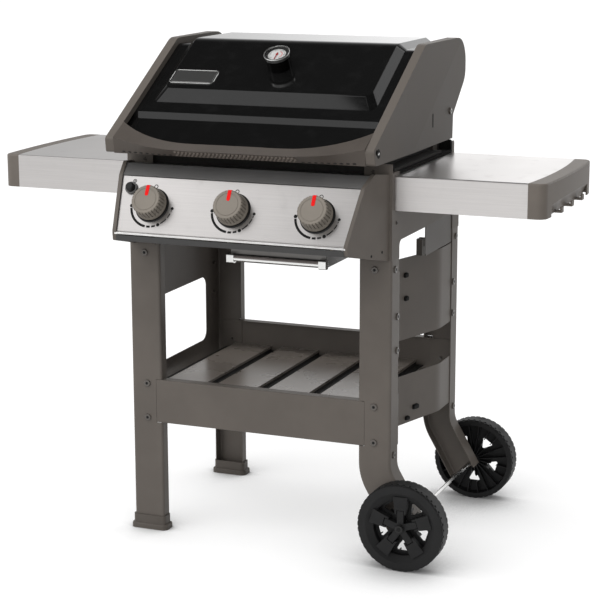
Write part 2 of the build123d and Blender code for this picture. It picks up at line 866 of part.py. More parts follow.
def hopper(inset):
    """Cook box form: upright walls over a floor that tapers in, all moved in by an inset."""
    half = box_half - inset
    front, rear = box_front + inset, box_rear - inset
    floor_half = box_floor_half - inset
    floor_front, floor_rear = box_front + box_floor_inset + inset, box_rear - box_floor_inset - inset
    walls = block(-half, half, front, rear, box_shoulder, box_rim)
    upper = Pos(0, 0, box_shoulder) * make_face(
        Polyline((-half, front), (half, front), (half, rear), (-half, rear), close=True))
    lower = Pos(0, 0, box_floor + inset) * make_face(
        Polyline((-floor_half, floor_front), (floor_half, floor_front), (floor_half, floor_rear),
                 (-floor_half, floor_rear), close=True))
    return walls + loft([lower, upper], ruled=True)


def wall_ledge(z):
    """Front and rear ledges inside the cook box with their top at a height."""
    half = box_half - box_wall / 2
    front = block(-half, half, box_front + box_wall / 2, box_front + box_wall + inner_ledge,
                  z - inner_ledge_thick, z)
    rear = block(-half, half, box_rear - box_wall - inner_ledge, box_rear - box_wall / 2,
                 z - inner_ledge_thick, z)
    return front + rear


def cook_box():
    """Cast box, open at the top, with a drain, ledges for bars and grates, and side ledges."""
    middle = (box_front + box_rear) / 2
    box = hopper(0) - hopper(box_wall)
    side = block(box_half - box_wall / 2, box_ledge_out, box_ledge_front, box_ledge_rear,
                 frame_web_top, frame_web_top + box_ledge_thick)
    box += side + across(side) + wall_ledge(bar_ledge_z) + wall_ledge(grate_ledge_z)
    box -= block(-drain_half_x, drain_half_x, middle - drain_half_y, middle + drain_half_y,
                 box_floor - box_wall, box_floor + 2 * box_wall)
    for x in knob_places.values():
        box -= rod((x, box_front - box_wall, burner_z), (x, box_front + 2 * box_wall, burner_z),
                   burner_radius + burner_hole_fit)
    return box


def burners():
    """Burner tubes from the valves to the rear wall of the cook box."""
    tubes = []
    end = box_rear - box_wall - seat_gap
    for x in knob_places.values():
        tube = rod((x, burner_mouth, burner_z), (x, end, burner_z), burner_radius)
        bore = rod((x, burner_mouth, burner_z), (x, end - burner_wall, burner_z), burner_radius - burner_wall)
        tubes.append(tube - bore)
    return group(tubes)


def heat_bars():
    """Angled bars that lie on the lower ledges over the burners."""
    bars = []
    y_low, y_high = box_front + box_wall + lift_gap, box_rear - box_wall - lift_gap
    for i in range(heat_bar_count):
        x = (i - (heat_bar_count - 1) / 2) * heat_bar_pitch
        low, high = bar_ledge_z + seat_gap, bar_ledge_z + heat_bar_rise
        inner = heat_bar_half - heat_bar_sheet * 2
        points = [(x - heat_bar_half, low), (x, high), (x + heat_bar_half, low), (x + inner, low),
                  (x, high - heat_bar_sheet * 2), (x - inner, low)]
        bars.append(prism_y(points, y_low, y_high))
    return group(bars)


def grate():
    """Right cooking grate: a cast frame with bars that run front to back."""
    y_low, y_high = box_front + box_wall + lift_gap, box_rear - box_wall - lift_gap
    x_low, x_high = grate_split / 2, box_half - box_wall - lift_gap
    z_low, z_high = grate_ledge_z, grate_ledge_z + grate_thick
    pitch = (x_high - x_low - grate_bar) / (grate_bars - 1)
    rails = [block(x_low, x_high, y_low, y_low + grate_bar, z_low, z_high),
             block(x_low, x_high, y_high - grate_bar, y_high, z_low, z_high),
             block(x_low, x_high, (y_low + y_high - grate_bar) / 2, (y_low + y_high + grate_bar) / 2,
                   z_low, (z_low + z_high) / 2)]
    whole = rails[0]
    for i in range(grate_bars):
        x = x_low + i * pitch
        rails.append(block(x, x + grate_bar, y_low, y_high, z_low, z_high))
    return whole + rails[1:]


def warming_rack():
    """Wire rack on four legs that stand on the side walls of the cook box."""
    x = box_half - rack_inset
    pitch = (rack_rear - rack_front) / (rack_wires - 1)
    wires = [rod((-x, rack_front + i * pitch, rack_z), (x, rack_front + i * pitch, rack_z), rack_wire)
             for i in range(rack_wires)]
    for side in (-x, x):
        wires.append(rod((side, rack_front - 2 * rack_rail, rack_z),
                         (side, rack_rear + 2 * rack_rail, rack_z), rack_rail))
        for y in (rack_front - rack_rail, rack_rear + rack_rail):
            wires.append(rod((side, y, box_rim), (side, y, rack_z), rack_leg))
    rack = wires[-1]
    for wire in wires[-2::-1]:
        rack += wire
    return rack


def side_x(y, inset=0.0):
    """Outer X of the control panel at a depth: its ends toe in towards the front."""
    return cap_rear_x - inset + cap_toe * y


def panel_plan(inset, z_low, z_high):
    """Plan of the control panel as a solid, with its ends moved in by an inset."""
    front = fascia_front_y - cap_wall
    return prism_z([(-side_x(0, inset), 0), (-side_x(front, inset), front),
                    (side_x(front, inset), front), (side_x(0, inset), 0)], z_low, z_high)


def control_panel():
    """Brushed steel fascia with a folded lower edge and holes for the stems and the igniter."""
    outside = [(-fascia_half, -fascia_return), (-fascia_half, 0), (fascia_half, 0),
               (fascia_half, -fascia_return / 2)]
    radii = bend_radii([fascia_bend, fascia_bend / 2], fascia_sheet)
    sheet = fascia_plane * prism_x(folded(outside, -fascia_sheet), -cap_rear_x, cap_rear_x, radii)
    sheet = sheet & panel_plan(cap_wall, skirt_rear_z, top_rail_crest_z)
    holes = [Pos(x, 0, 0) * post(stem_hole, -fascia_return, fascia_return) for x in knob_places.values()]
    holes.append(Pos(igniter_x, igniter_up, 0)
                 * post(igniter_radius + fascia_bend, -fascia_return, fascia_return))
    for hole in holes:
        sheet -= fascia_plane * hole
    return sheet


def panel_top_rail():
    """Dark rail over the fascia, folded back to the posts of the side frames."""
    edge_y = fascia_y + fascia_up[1] * fascia_half
    edge_z = fascia_z + fascia_up[2] * fascia_half
    outside = [(0, top_rail_rear), (top_rail_crest_y, top_rail_crest_z),
               (edge_y - fascia_sheet, edge_z + fascia_sheet),
               (edge_y + fascia_sheet, edge_z - top_rail_drop + fascia_sheet)]
    rail = prism_x(folded(outside[:3], skirt_sheet), -cap_rear_x, cap_rear_x)
    return rail & panel_plan(cap_wall, skirt_rear_z, lid_low)


def panel_bottom_skirt():
    """Dark skirt under the fascia that closes the panel from below."""
    edge_y = fascia_y - fascia_up[1] * fascia_half - fascia_out[1] * -fascia_return / 2
    edge_z = fascia_z - fascia_up[2] * fascia_half - fascia_out[2] * fascia_return
    outside = [(-skirt_gap, skirt_rear_z), (edge_y + skirt_gap, skirt_front_z), (edge_y, edge_z)]
    skirt = prism_x(folded(outside, -skirt_sheet), -cap_rear_x, cap_rear_x)
    return skirt & panel_plan(cap_wall, leg_top, top_rail_crest_z)


def panel_cap():
    """Right end cap of the control panel, a plate that toes in and stands on the leg."""
    low_y = fascia_y - fascia_up[1] * fascia_half
    low_z = fascia_z - fascia_up[2] * fascia_half
    high_y = fascia_y + fascia_up[1] * fascia_half
    high_z = fascia_z + fascia_up[2] * fascia_half
    rim = fascia_bend
    front_low = (low_y + fascia_out[1] * rim, low_z + fascia_out[2] * rim)
    front_high = (high_y + fascia_out[1] * rim, high_z + fascia_out[2] * rim)
    points = [(0, leg_top), (low_y, skirt_front_z), front_low, front_high,
              (top_rail_crest_y, top_rail_crest_z + rim), (0, top_rail_rear + rim)]
    outline = prism_x(points, 0, lid_half, [0, 2 * rim, 4 * rim, 4 * rim, 4 * rim, 0])
    cap = outline & panel_plan(0, leg_top - rim, lid_low)
    return cap - panel_plan(cap_wall, leg_top - 2 * rim, lid_low + rim)


def on_fascia(x, up):
    """Place on the fascia with its local Z pointing out of the panel."""
    return fascia_plane * Pos(x, up, 0)


def knob_bezels():
    """Dark rings on the fascia under the knobs."""
    ring = post(bezel_radius, 0, bezel_height) - post(stem_hole, 0, bezel_height)
    ring = chamfer(ring.edges().filter_by(GeomType.CIRCLE).sort_by(Axis.Z)[-2:].sort_by(SortBy.RADIUS)[-1],
                   bezel_height / 2)
    return group([on_fascia(x, 0) * ring for x in knob_places.values()])


def knob(x):
    """Knob with a flared skirt, a grooved waist and a blind bore for its stem."""
    points = [(0, knob_low), (knob_base_radius, knob_low), (knob_base_radius, knob_low + knob_edge),
              (knob_waist_radius, knob_low + knob_skirt),
              (knob_face_radius + knob_edge, knob_high - knob_edge),
              (knob_face_radius, knob_high), (0, knob_high)]
    body = revolve(make_face(Polyline(*[(r, 0, z) for r, z in points], close=True)), axis=Axis.Z)
    groove = block(knob_waist_radius - knob_groove, knob_base_radius + knob_groove, -knob_groove / 2,
                   knob_groove / 2, knob_low + knob_skirt, knob_high)
    lean_in = math.degrees(math.atan2(knob_waist_radius - knob_face_radius - knob_edge,
                                      knob_high - knob_edge - knob_low - knob_skirt))
    pivot = Pos(knob_waist_radius, 0, knob_low + knob_skirt)
    groove = pivot * Rot(0, -lean_in, 0) * pivot.inverse() * groove
    body -= [Rot(0, 0, i * 360 / knob_grooves) * groove for i in range(knob_grooves)]
    ring = post(knob_ring_radius, knob_high - knob_ring_depth, knob_high + knob_edge)
    ring -= post(knob_ring_radius - knob_ring, 0, knob_high + knob_edge)
    body -= ring
    body -= post(stem_radius + running_fit, 0, stem_tip + tip_gap)
    return on_fascia(x, 0) * body


def knob_stem(x):
    """Round stem from inside the valve to inside the knob."""
    return on_fascia(x, 0) * post(stem_radius, -stem_root, stem_tip)


def gas_pipe():
    """Pipe solid of the manifold, without its brackets."""
    y = fascia_y - fascia_out[1] * pipe_depth
    z = fascia_z - fascia_out[2] * pipe_depth
    return rod((pipe_left, y, z), (pipe_right, y, z), pipe_radius)


def gas_manifold():
    """Gas pipe behind the fascia with two brackets to the cook box and a bored inlet at its right end."""
    y = fascia_y - fascia_out[1] * pipe_depth
    z = fascia_z - fascia_out[2] * pipe_depth
    manifold = gas_pipe() + rod((pipe_right, y, z), (pipe_right + inlet_length, y, z), inlet_radius)
    for x in (-pipe_bracket_x, pipe_bracket_x):
        manifold += block(x - pipe_bracket_half, x + pipe_bracket_half, y, box_front,
                          z - pipe_bracket_thick / 2, z + pipe_bracket_thick / 2)
    return manifold - rod((pipe_right, y, z), (pipe_right + inlet_length, y, z), inlet_bore)


def gas_valves():
    """Valves on the manifold, each with a bore for its stem and a nozzle into its burner."""
    valves = []
    depth = (valve_near + valve_far) / 2
    for x in knob_places.values():
        valve = on_fascia(x, 0) * (post(valve_radius, -valve_far, -valve_near))
        y = fascia_y - fascia_out[1] * depth
        valve += rod((x, y, burner_z), (x, burner_mouth + nozzle_in, burner_z), nozzle_radius)
        valve -= on_fascia(x, 0) * post(stem_radius + running_fit, -valve_bore_end, 0)
        valves.append(valve - gas_pipe())
    return group(valves)


def igniter_housing():
    """Collar on the fascia with a cup behind it that guides the push button."""
    collar = post(igniter_collar, 0, igniter_collar_height)
    cup = post(igniter_radius + fascia_bend - igniter_fit, -igniter_depth - fascia_bend, 0)
    bore = post(igniter_radius + igniter_fit, -igniter_depth, igniter_collar_height)
    return on_fascia(igniter_x, igniter_up) * (collar + cup - bore)


def igniter_button():
    """Push button of the igniter."""
    button = post(igniter_radius, -igniter_low, igniter_high)
    rim = button.edges().filter_by(GeomType.CIRCLE).sort_by(Axis.Z)[-1]
    return on_fascia(igniter_x, igniter_up) * fillet(rim, fascia_bend)


def lid_points():
    """Side outline of a lid end, clockwise from the front lower corner."""
    rise = (lid_high - lid_front_z) / math.tan(slope)
    return [(lid_front_low_y, lid_low), (lid_front_y, lid_front_z), (lid_front_y + rise, lid_high),
            (lid_rear_y, lid_high), (lid_rear_y, lid_rear_knee_z), (lid_tail_y, lid_tail_z),
            (lid_tail_low_y, lid_low)]


def lid_radii(inset):
    """Corner radii of the lid outline, smaller by an inset."""
    small = max(lid_round_small - inset, 0)
    return [small, small, lid_round_top - inset, lid_round_rear - inset, lid_round_knee - inset, small, 0]


def on_slope(s, out):
    """Point (y, z) on the lid front: s up the slope, out from the face of the lid ends."""
    return (lid_front_y + s * slope_along[0] + out * slope_out[0],
            lid_front_z + s * slope_along[1] + out * slope_out[1])


def toe_cut():
    """Space outside the front part of the right lid end, where its side face leans in."""
    along = math.radians(lid_facet_slope)
    tilt = math.radians(lid_toe)
    out = (math.cos(tilt), -math.sin(along) * math.sin(tilt), math.cos(along) * math.sin(tilt))
    line = (0, math.cos(along), math.sin(along))
    face = Plane(origin=(lid_half, lid_facet_y, lid_low), x_dir=line, z_dir=out)
    reach = lid_high
    return face * Pos(0, reach / 2, 0) * Box(2 * reach, reach, lid_cap_width,
                                             align=(Align.CENTER, Align.CENTER, Align.MIN))


def lid_end():
    """Right cast end of the lid: a side plate with a deep rim, bored for the hinge pin."""
    inner_points = shifted(lid_points(), -lid_cap_stand, closed=True)
    body = prism_x(lid_points(), lid_inner, lid_half, lid_radii(0)) - toe_cut()
    hollow = prism_x(inner_points, lid_inner, lid_half - lid_cap_plate, lid_radii(lid_cap_stand))
    body -= hollow - Pos(-lid_cap_plate, 0, 0) * toe_cut()
    body -= block(lid_half - lid_slot_depth, lid_half, lid_slot_y - lid_slot_width / 2,
                  lid_slot_y + lid_slot_width / 2, lid_slot_low, lid_slot_high)
    body -= rod((lid_half - lid_screw_depth, lid_screw_y, lid_screw_z), (lid_half, lid_screw_y, lid_screw_z),
                lid_screw_radius)
    return body - rod((lid_inner, hinge_y, hinge_z), (lid_half, hinge_y, hinge_z), hinge_pin + running_fit)


def raised_press(inset):
    """Raised field of the lid: a trapezoid carried up the slope and over the top, cut off at its foot."""
    corners = shifted(lid_points(), -lid_cap_stand, closed=True)
    start = on_slope(band_high_s, -lid_cap_stand)
    path = FilletPolyline(*[(0, y, z) for y, z in (start, corners[2], corners[3])],
                          radius=[lid_round_top - lid_cap_stand])
    path = path.trim(0, (path.length - lid_round_rear) / path.length)
    side = inset * press_side / lid_cap_stand
    low_half, top_half = press_half - inset, press_half - press_side - inset
    height = lid_cap_stand - inset
    section_plane = Plane(origin=(0, *start), x_dir=(1, 0, 0), z_dir=(0, *slope_along))
    points = [(-low_half - side, -inset), (low_half + side, -inset), (top_half, height), (-top_half, height)]
    if section_plane.y_dir.Y * slope_out[0] < 0:
        points = [(u, -v) for u, v in points]
    section = section_plane * make_face(Polyline(*points, close=True))
    press = sweep(section, path=path)
    foot = on_slope(press_foot_s + inset, -lid_cap_stand)
    crest = on_slope(press_crest_s + inset, 0)
    below = [foot, crest, on_slope(press_crest_s, 2 * lid_cap_stand), on_slope(0, 2 * lid_cap_stand),
             on_slope(0, -3 * lid_cap_stand), on_slope(press_foot_s, -3 * lid_cap_stand)]
    press -= prism_x(below, -lid_half, lid_half)
    corner_y, corner_z = on_slope((press_foot_s + press_crest_s) / 2, -lid_cap_stand / 2)
    corner_x = (low_half + top_half) / 2
    corners = [press.edges().sort_by_distance((x, corner_y, corner_z))[0] for x in (-corner_x, corner_x)]
    return fillet(corners, press_round - inset)


def lid_shroud():
    """Enamelled sheet between the lid ends, with two stepped bands and a raised field."""
    corners = shifted(lid_points(), -lid_cap_stand, closed=True)
    tail = [a + (b - a) * shroud_end_share for a, b in zip(corners[4], corners[5])]
    step = lid_cap_stand + shroud_step
    outside = [on_slope(shroud_foot_s, -step), on_slope(band_low_s, -step),
               on_slope(band_high_s, -lid_cap_stand), corners[2], corners[3], corners[4], tuple(tail)]
    radii = bend_radii([0, 0] + lid_radii(lid_cap_stand)[2:5], shroud_sheet)
    reach = lid_half - lid_cap_plate - lid_toe_room
    sheet = prism_x(folded(outside, -shroud_sheet), -reach, reach, radii)
    end_room = block(lid_inner, lid_half, lid_front_y - step, hinge_y, lid_low - step,
                     lid_low + 2 * lid_cap_stand)
    sheet = sheet - end_room - across(end_room)
    probe = slope_plane * Pos(0, gauge_s, 0) * post(probe_radius + probe_fit, -lid_cap_stand, lid_cap_stand)
    return sheet + raised_press(0) - raised_press(shroud_sheet) - probe


def smile_rise(x):
    """Height of the handle's upper edge up the slope: flat in the middle, then an arc up to each lid end."""
    rise = smile_end_s - smile_mid_s
    run = lid_inner - smile_flat
    turn = (run * run + rise * rise) / (2 * rise)
    past = max(abs(x) - smile_flat, 0)
    return smile_mid_s + turn - math.sqrt(turn * turn - past * past)


def handle_section(x):
    """Cross section of the handle moulding at x: upper edge, crease, undercut grip and foot."""
    step = lid_cap_stand + shroud_step
    s = smile_rise(x)
    share = (s - smile_mid_s) / (smile_end_s - smile_mid_s)
    crease = (crease_mid_y + share * (lid_front_y - crease_mid_y),
              crease_mid_z + share * (crease_end_z - crease_mid_z))
    points = [on_slope(s + handle_back_rise, -step), on_slope(s, 0), crease, (handle_low_y, handle_low),
              (handle_low_y + handle_foot, handle_low), on_slope(shroud_foot_s, -step)]
    return make_face(Polyline(*[(x, y, z) for y, z in points], close=True))


def lid_handle():
    """Full-width handle moulding with a smile-shaped upper edge and an undercut grip below its crease."""
    places = [lid_inner * (2 * i / (handle_stations - 1) - 1) for i in range(handle_stations)]
    return loft([handle_section(x) for x in places])


def on_gauge():
    """Place of the thermometer on the lid, local Z out of the lid."""
    return slope_plane * Pos(0, gauge_s, 0)


def thermometer_case():
    """Thermometer body with its bezel, dial seat and probe."""
    body = post(gauge_body, 0, gauge_bezel_low) + post(gauge_bezel, gauge_bezel_low, gauge_high)
    rim = body.edges().filter_by(GeomType.CIRCLE).sort_by(Axis.Z)[-1]
    body = fillet(rim, (gauge_bezel - gauge_recess) / 2)
    body -= post(gauge_recess, gauge_recess_low, gauge_high)
    body += post(probe_radius, -probe_length, 0)
    return on_gauge() * (body - post(spindle_radius + running_fit, spindle_low, gauge_high))


def thermometer_dial():
    """Dial plate on its seat, with a hole for the spindle."""
    plate = post(gauge_recess - gauge_fit, gauge_recess_low, gauge_recess_low + dial_thick)
    return on_gauge() * (plate - post(spindle_radius + running_fit, gauge_recess_low, gauge_high))


def thermometer_glass():
    """Glass over the dial."""
    return on_gauge() * post(gauge_recess - gauge_fit, glass_low, glass_low + glass_thick)


def thermometer_pointer():
    """Pointer on its spindle."""
    top = pointer_low + pointer_thick
    hand = prism_z([(-pointer_half, pointer_tail), (pointer_half, pointer_tail),
                    (pointer_half / 2, -pointer_length), (-pointer_half / 2, -pointer_length)],
                   pointer_low, top)
    hub = post(pointer_hub, pointer_low, top)
    return on_gauge() * (hand + hub + post(spindle_radius, spindle_low + tip_gap, top))


def hinge_bracket():
    """Right hinge plate on the side of the cook box with its pin through the lid end."""
    plate = prism_x([(hinge_plate_front, hinge_plate_low), (hinge_plate_rear, hinge_plate_low),
                     (hinge_plate_rear, hinge_plate_high), (hinge_plate_front, hinge_plate_high)],
                    box_half, box_half + hinge_plate, [0, 0, hinge_plate, hinge_plate])
    head_low = lid_half + hinge_head_gap
    pin = rod((box_half, hinge_y, hinge_z), (head_low + hinge_head_length, hinge_y, hinge_z), hinge_pin)
    head = rod((head_low, hinge_y, hinge_z), (head_low + hinge_head_length, hinge_y, hinge_z), hinge_head)
    slot = block(cart_half - frame_ledge, cart_half, hinge_plate_front, hinge_plate_rear,
                 frame_web_top - frame_sheet, frame_web_top)
    return plate + pin + head - slot


def grease_tray():
    """Sliding tray, open at the top, with side flanges that run on the rails."""
    body = block(-tray_half, tray_half, tray_front, tray_rear, tray_low, tray_high)
    inside = block(tray_sheet - tray_half, tray_half - tray_sheet, tray_front + tray_sheet,
                   tray_rear - tray_sheet, tray_low + tray_sheet, tray_high)
    flange = block(-tray_half - tray_flange, tray_half + tray_flange, tray_front, tray_rear,
                   tray_high - tray_sheet, tray_high)
    return body + flange - inside


def tray_rails():
    """Folded runners under the cook box floor that carry the tray's flanges."""
    ledge_z = tray_high - tray_sheet - tray_lift
    side = tray_half + tray_flange + tray_side_gap
    outside = [(side - rail_ledge, ledge_z - rail_sheet), (side + rail_sheet, ledge_z - rail_sheet),
               (side + rail_sheet, box_floor), (side + rail_sheet - rail_top_flange, box_floor)]
    rail = prism_y(folded(outside, rail_sheet), rail_front, rail_rear)
    return group([rail, across(rail)])


def drip_pan():
    """Foil pan that lies in the tray."""
    half = tray_half - pan_gap
    front, rear = tray_front + pan_gap, tray_rear - pan_gap
    low = tray_low + tray_sheet
    inner = half - pan_wall
    hollow = block(-inner, inner, front + pan_wall, rear - pan_wall, low + pan_wall, pan_high)
    return block(-half, half, front, rear, low, pan_high) - hollow


def tray_handle_ends():
    """Bright end pieces of the tray handle."""
    end = block(handle_end_x - handle_end_half, handle_end_x + handle_end_half, tray_front - handle_end_depth,
                tray_front - seat_gap, handle_end_low, handle_end_high)
    end = fillet(end.edges().filter_by(Axis.X).group_by(Axis.Y)[0], tray_flange / 2)
    return group([end, across(end)])


def tray_handle_bar():
    """Dark grip between the handle ends."""
    half = handle_end_x - handle_end_half
    y = tray_front - handle_end_depth / 2
    z = (handle_end_low + handle_end_high) / 2
    return rod((-half, y, z), (half, y, z), handle_bar_radius)


def save(name, shape):
    """Write one piece, moved so that the whole part is centred over the origin."""
    export_step(Pos(0, -y_centre, 0) * shape, f"parts/{name}.step")


def main():
    os.makedirs("parts", exist_ok=True)
    holes = bolt_holes()
    save("leg_front_left", straight_leg(front_rail_high) - holes)
    save("leg_rear_left", to_rear(straight_leg(rear_rail_high)) - holes)
    save("leg_front_right", cranked_leg(front_rail_high) - holes)
    save("leg_rear_right", to_rear(cranked_leg(rear_rail_high)) - holes)
    save("feet", group([foot(), to_rear(foot())]))
    save("shelf_front_rail", shelf_rail(front_rail_high) - holes)
    save("shelf_rear_rail", to_rear(shelf_rail(rear_rail_high)) - holes)
    save("bottom_shelf", bottom_shelf())
    save("side_frame_right", side_frame() - holes)
    save("side_frame_left", across(side_frame()) - holes)
    save("side_panel_left", side_panel() - holes)
    save("cylinder_guard_upper", cylinder_guard(guard_upper_low, guard_upper_high) - holes)
    save("cylinder_guard_lower", cylinder_guard(guard_lower_low, guard_lower_high) - holes)
    save("cylinder_hanger", cylinder_hanger() - holes)
    save("frame_bolts", frame_bolts())
    save("axle", axle())
    save("axle_caps", axle_caps())
    save("front_wheel", front_wheel())
    save("rear_wheel", rear_wheel())
    save("table_top_right", table_top())
    save("table_top_left", across(table_top()))
    save("table_end_right", table_end())
    save("table_end_left", across(table_end()))
    save("table_brackets", table_brackets())
    save("cook_box", cook_box())
    save("burners", burners())
    save("heat_bars", heat_bars())
    save("grate_right", grate())
    save("grate_left", across(grate()))
    save("warming_rack", warming_rack())
    save("control_panel", control_panel())
    save("panel_top_rail", panel_top_rail())
    save("panel_bottom_skirt", panel_bottom_skirt())
    save("panel_cap_right", panel_cap())
    save("panel_cap_left", across(panel_cap()))
    save("knob_bezels", knob_bezels())
    for side, x in knob_places.items():
        save(f"knob_{side}", knob(x))
        save(f"stem_{side}", knob_stem(x))
    save("gas_manifold", gas_manifold())
    save("gas_valves", gas_valves())
    save("igniter_housing", igniter_housing())
    save("igniter_button", igniter_button())
    save("lid_end_right", lid_end())
    save("lid_end_left", across(lid_end()))
    save("lid_shroud", lid_shroud())
    save("lid_handle", lid_handle())
    save("thermometer_case", thermometer_case())
    save("thermometer_dial", thermometer_dial())
    save("thermometer_glass", thermometer_glass())
    save("thermometer_pointer", thermometer_pointer())
    save("hinge_brackets", group([hinge_bracket(), across(hinge_bracket())]))
    save("grease_tray", Pos(tray_shift, 0, 0) * grease_tray())
    save("tray_rails", Pos(tray_shift, 0, 0) * tray_rails())
    save("drip_pan", Pos(tray_shift, 0, 0) * drip_pan())
    save("tray_handle_ends", Pos(tray_shift, 0, 0) * tray_handle_ends())
    save("tray_handle_bar", Pos(tray_shift, 0, 0) * tray_handle_bar())


main()
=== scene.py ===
import json
import math

import bmesh
import bpy
import numpy as np
from bpy.props import FloatProperty, FloatVectorProperty, IntProperty, PointerProperty
from mathutils import Matrix, Vector
from mathutils.bvhtree import BVHTree


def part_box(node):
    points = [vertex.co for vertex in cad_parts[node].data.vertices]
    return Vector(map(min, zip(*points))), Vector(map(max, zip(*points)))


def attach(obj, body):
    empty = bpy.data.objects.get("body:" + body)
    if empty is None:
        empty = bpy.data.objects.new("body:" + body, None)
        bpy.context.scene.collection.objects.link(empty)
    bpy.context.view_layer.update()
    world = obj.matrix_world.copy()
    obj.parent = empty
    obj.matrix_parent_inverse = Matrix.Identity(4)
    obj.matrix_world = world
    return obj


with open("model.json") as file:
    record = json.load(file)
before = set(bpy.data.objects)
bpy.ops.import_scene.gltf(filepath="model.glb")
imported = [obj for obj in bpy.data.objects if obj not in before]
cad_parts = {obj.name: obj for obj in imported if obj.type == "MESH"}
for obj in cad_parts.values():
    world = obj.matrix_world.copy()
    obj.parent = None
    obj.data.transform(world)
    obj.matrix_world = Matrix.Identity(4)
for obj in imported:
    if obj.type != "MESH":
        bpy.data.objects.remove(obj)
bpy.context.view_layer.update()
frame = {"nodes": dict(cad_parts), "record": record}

bl_info = {
    "name": "Gas barbecue grill",
    "version": (1, 0, 0),
    "blender": (4, 5, 0),
    "location": "View3D > Sidebar > Grill",
    "description": "Finishes, printed marks and small fittings of a gas barbecue grill on its packed frame",
    "category": "Object",
}

# Placing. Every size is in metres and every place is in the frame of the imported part.


def node_middle(node):
    """Middle of a node's box at rest."""
    low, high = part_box(node)
    return (np.array(low) + np.array(high)) / 2


class Place:
    """A flat working plane: an origin, a direction across, one up it and one out of it."""

    def __init__(self, origin, across, out):
        self.origin = np.array(origin, float)
        self.across = np.array(across, float) / np.linalg.norm(across)
        self.out = np.array(out, float) / np.linalg.norm(out)
        self.up = np.cross(self.out, self.across)

    def at(self, across, up, out):
        """World points of local ones; each argument is a number or an array."""
        a, u, o = [part[..., None] for part in np.broadcast_arrays(across, up, out)]
        return self.origin + a * self.across + u * self.up + o * self.out

    def moved(self, across, up, out=0.0):
        """The same plane with its origin moved on it."""
        return Place(self.at(across, up, out), self.across, self.out)


def joint_named(name):
    """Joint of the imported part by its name."""
    return next(j for j in frame["record"]["behaviour"]["joints"] if j["name"] == name)


def fascia_place(side):
    """Plane of the control panel's face, with its origin on a knob's axis."""
    joint = joint_named(f"knob_{side}_turn")
    return Place(joint["pos_m"], (1, 0, 0), joint["axis"])


def lid_place():
    """Plane of the lid's raised field, with its origin under the middle of the thermometer."""
    joint = joint_named("pointer_turn")
    return Place(joint["pos_m"], (1, 0, 0), [-v for v in joint["axis"]])


# Surfaces worked out with numpy


def put_mesh(name, points, faces, smooth):
    """Mesh object at the origin from an array of points and a list of faces."""
    mesh = bpy.data.meshes.new(name)
    mesh.from_pydata(points, [], faces)
    mesh.update()
    mesh.polygons.foreach_set("use_smooth", np.full(len(mesh.polygons), smooth, dtype=bool))
    piece = bpy.data.objects.new(name, mesh)
    bpy.context.scene.collection.objects.link(piece)
    return piece


def grid_faces(rows, columns, close_rows=False, close_columns=False):
    """Quads of a rows by columns grid of points, closed round either way if asked."""
    i = np.arange(rows if close_rows else rows - 1)[:, None]
    j = np.arange(columns if close_columns else columns - 1)[None, :]
    k, m = (i + 1) % rows, (j + 1) % columns
    quads = np.stack([i * columns + j, k * columns + j, k * columns + m, i * columns + m], -1)
    return quads.reshape(-1, 4).tolist()


def revolved(place, radii, heights, steps):
    """Points and faces of a profile of radii and heights, turned once round a plane's outward axis."""
    angle = np.linspace(0, 2 * np.pi, steps, endpoint=False)[None, :]
    r, h = np.asarray(radii, float)[:, None], np.asarray(heights, float)[:, None]
    points = place.at(r * np.cos(angle), r * np.sin(angle), h)
    return points.reshape(-1, 3), grid_faces(len(radii), steps, close_columns=True)


def printed_dot(place, radius, rise, steps):
    """Disc of ink: a short rim and a flat top, turned round a plane's axis."""
    return revolved(place, [radius, radius, 0.0], [0.0, rise, rise], steps)


def printed_ring(place, outer, inner, rise):
    """Ring of ink: up its outer rim, flat across and down its inner rim, turned round a plane's axis."""
    return revolved(place, [outer, outer, inner, inner], [0.0, rise, rise, 0.0], steps=28)


def carried(place, centres, width, rise):
    """Flat band along centre points on a plane: two edges set off by half the width, with a thin rim.
    The band is a grid of four rows: low edge, high edge, high edge, low edge."""
    run = np.gradient(centres, axis=0)
    run /= np.linalg.norm(run, axis=1)[:, None]
    side = width / 2 * np.stack([-run[:, 1], run[:, 0]], 1)
    left, right = (centres + side).T, (centres - side).T
    rows = [place.at(*left, 0.0), place.at(*left, rise), place.at(*right, rise), place.at(*right, 0.0)]
    return np.concatenate(rows), grid_faces(4, len(centres), close_rows=True)


def joined(parts):
    """Points and faces of several parts as one."""
    points, faces, start = [], [], 0
    for part_points, part_faces in parts:
        points.append(part_points)
        faces += [[index + start for index in face] for face in part_faces]
        start += len(part_points)
    return np.concatenate(points), faces


def outward(piece):
    """Merge doubled points and turn every face outwards."""
    form = bmesh.new()
    form.from_mesh(piece.data)
    bmesh.ops.remove_doubles(form, verts=form.verts, dist=1e-6)
    bmesh.ops.recalc_face_normals(form, faces=form.faces)
    form.to_mesh(piece.data)
    form.free()
    return piece


def rounded_rectangle(width, height, corner, steps=8):
    """Outline points of a rectangle with round corners, anticlockwise."""
    turn = np.linspace(0, np.pi / 2, steps)
    parts = []
    for i, (sx, sy) in enumerate(((1, 1), (-1, 1), (-1, -1), (1, -1))):
        angle = turn + i * np.pi / 2
        centre = np.array([sx * (width / 2 - corner), sy * (height / 2 - corner)])
        parts.append(centre + corner * np.stack([np.cos(angle), np.sin(angle)], 1))
    return np.concatenate(parts)


def stacked(place, outlines, heights, capped=True):
    """Form from outlines of equal length on a plane, one above the other, capped at its top if asked."""
    rows = [place.at(o[:, 0], o[:, 1], h) for o, h in zip(outlines, heights)]
    count = len(outlines[0])
    faces = grid_faces(len(rows), count, close_columns=True)
    if capped:
        faces.append([(len(rows) - 1) * count + k for k in range(count)])
    return np.concatenate(rows), faces


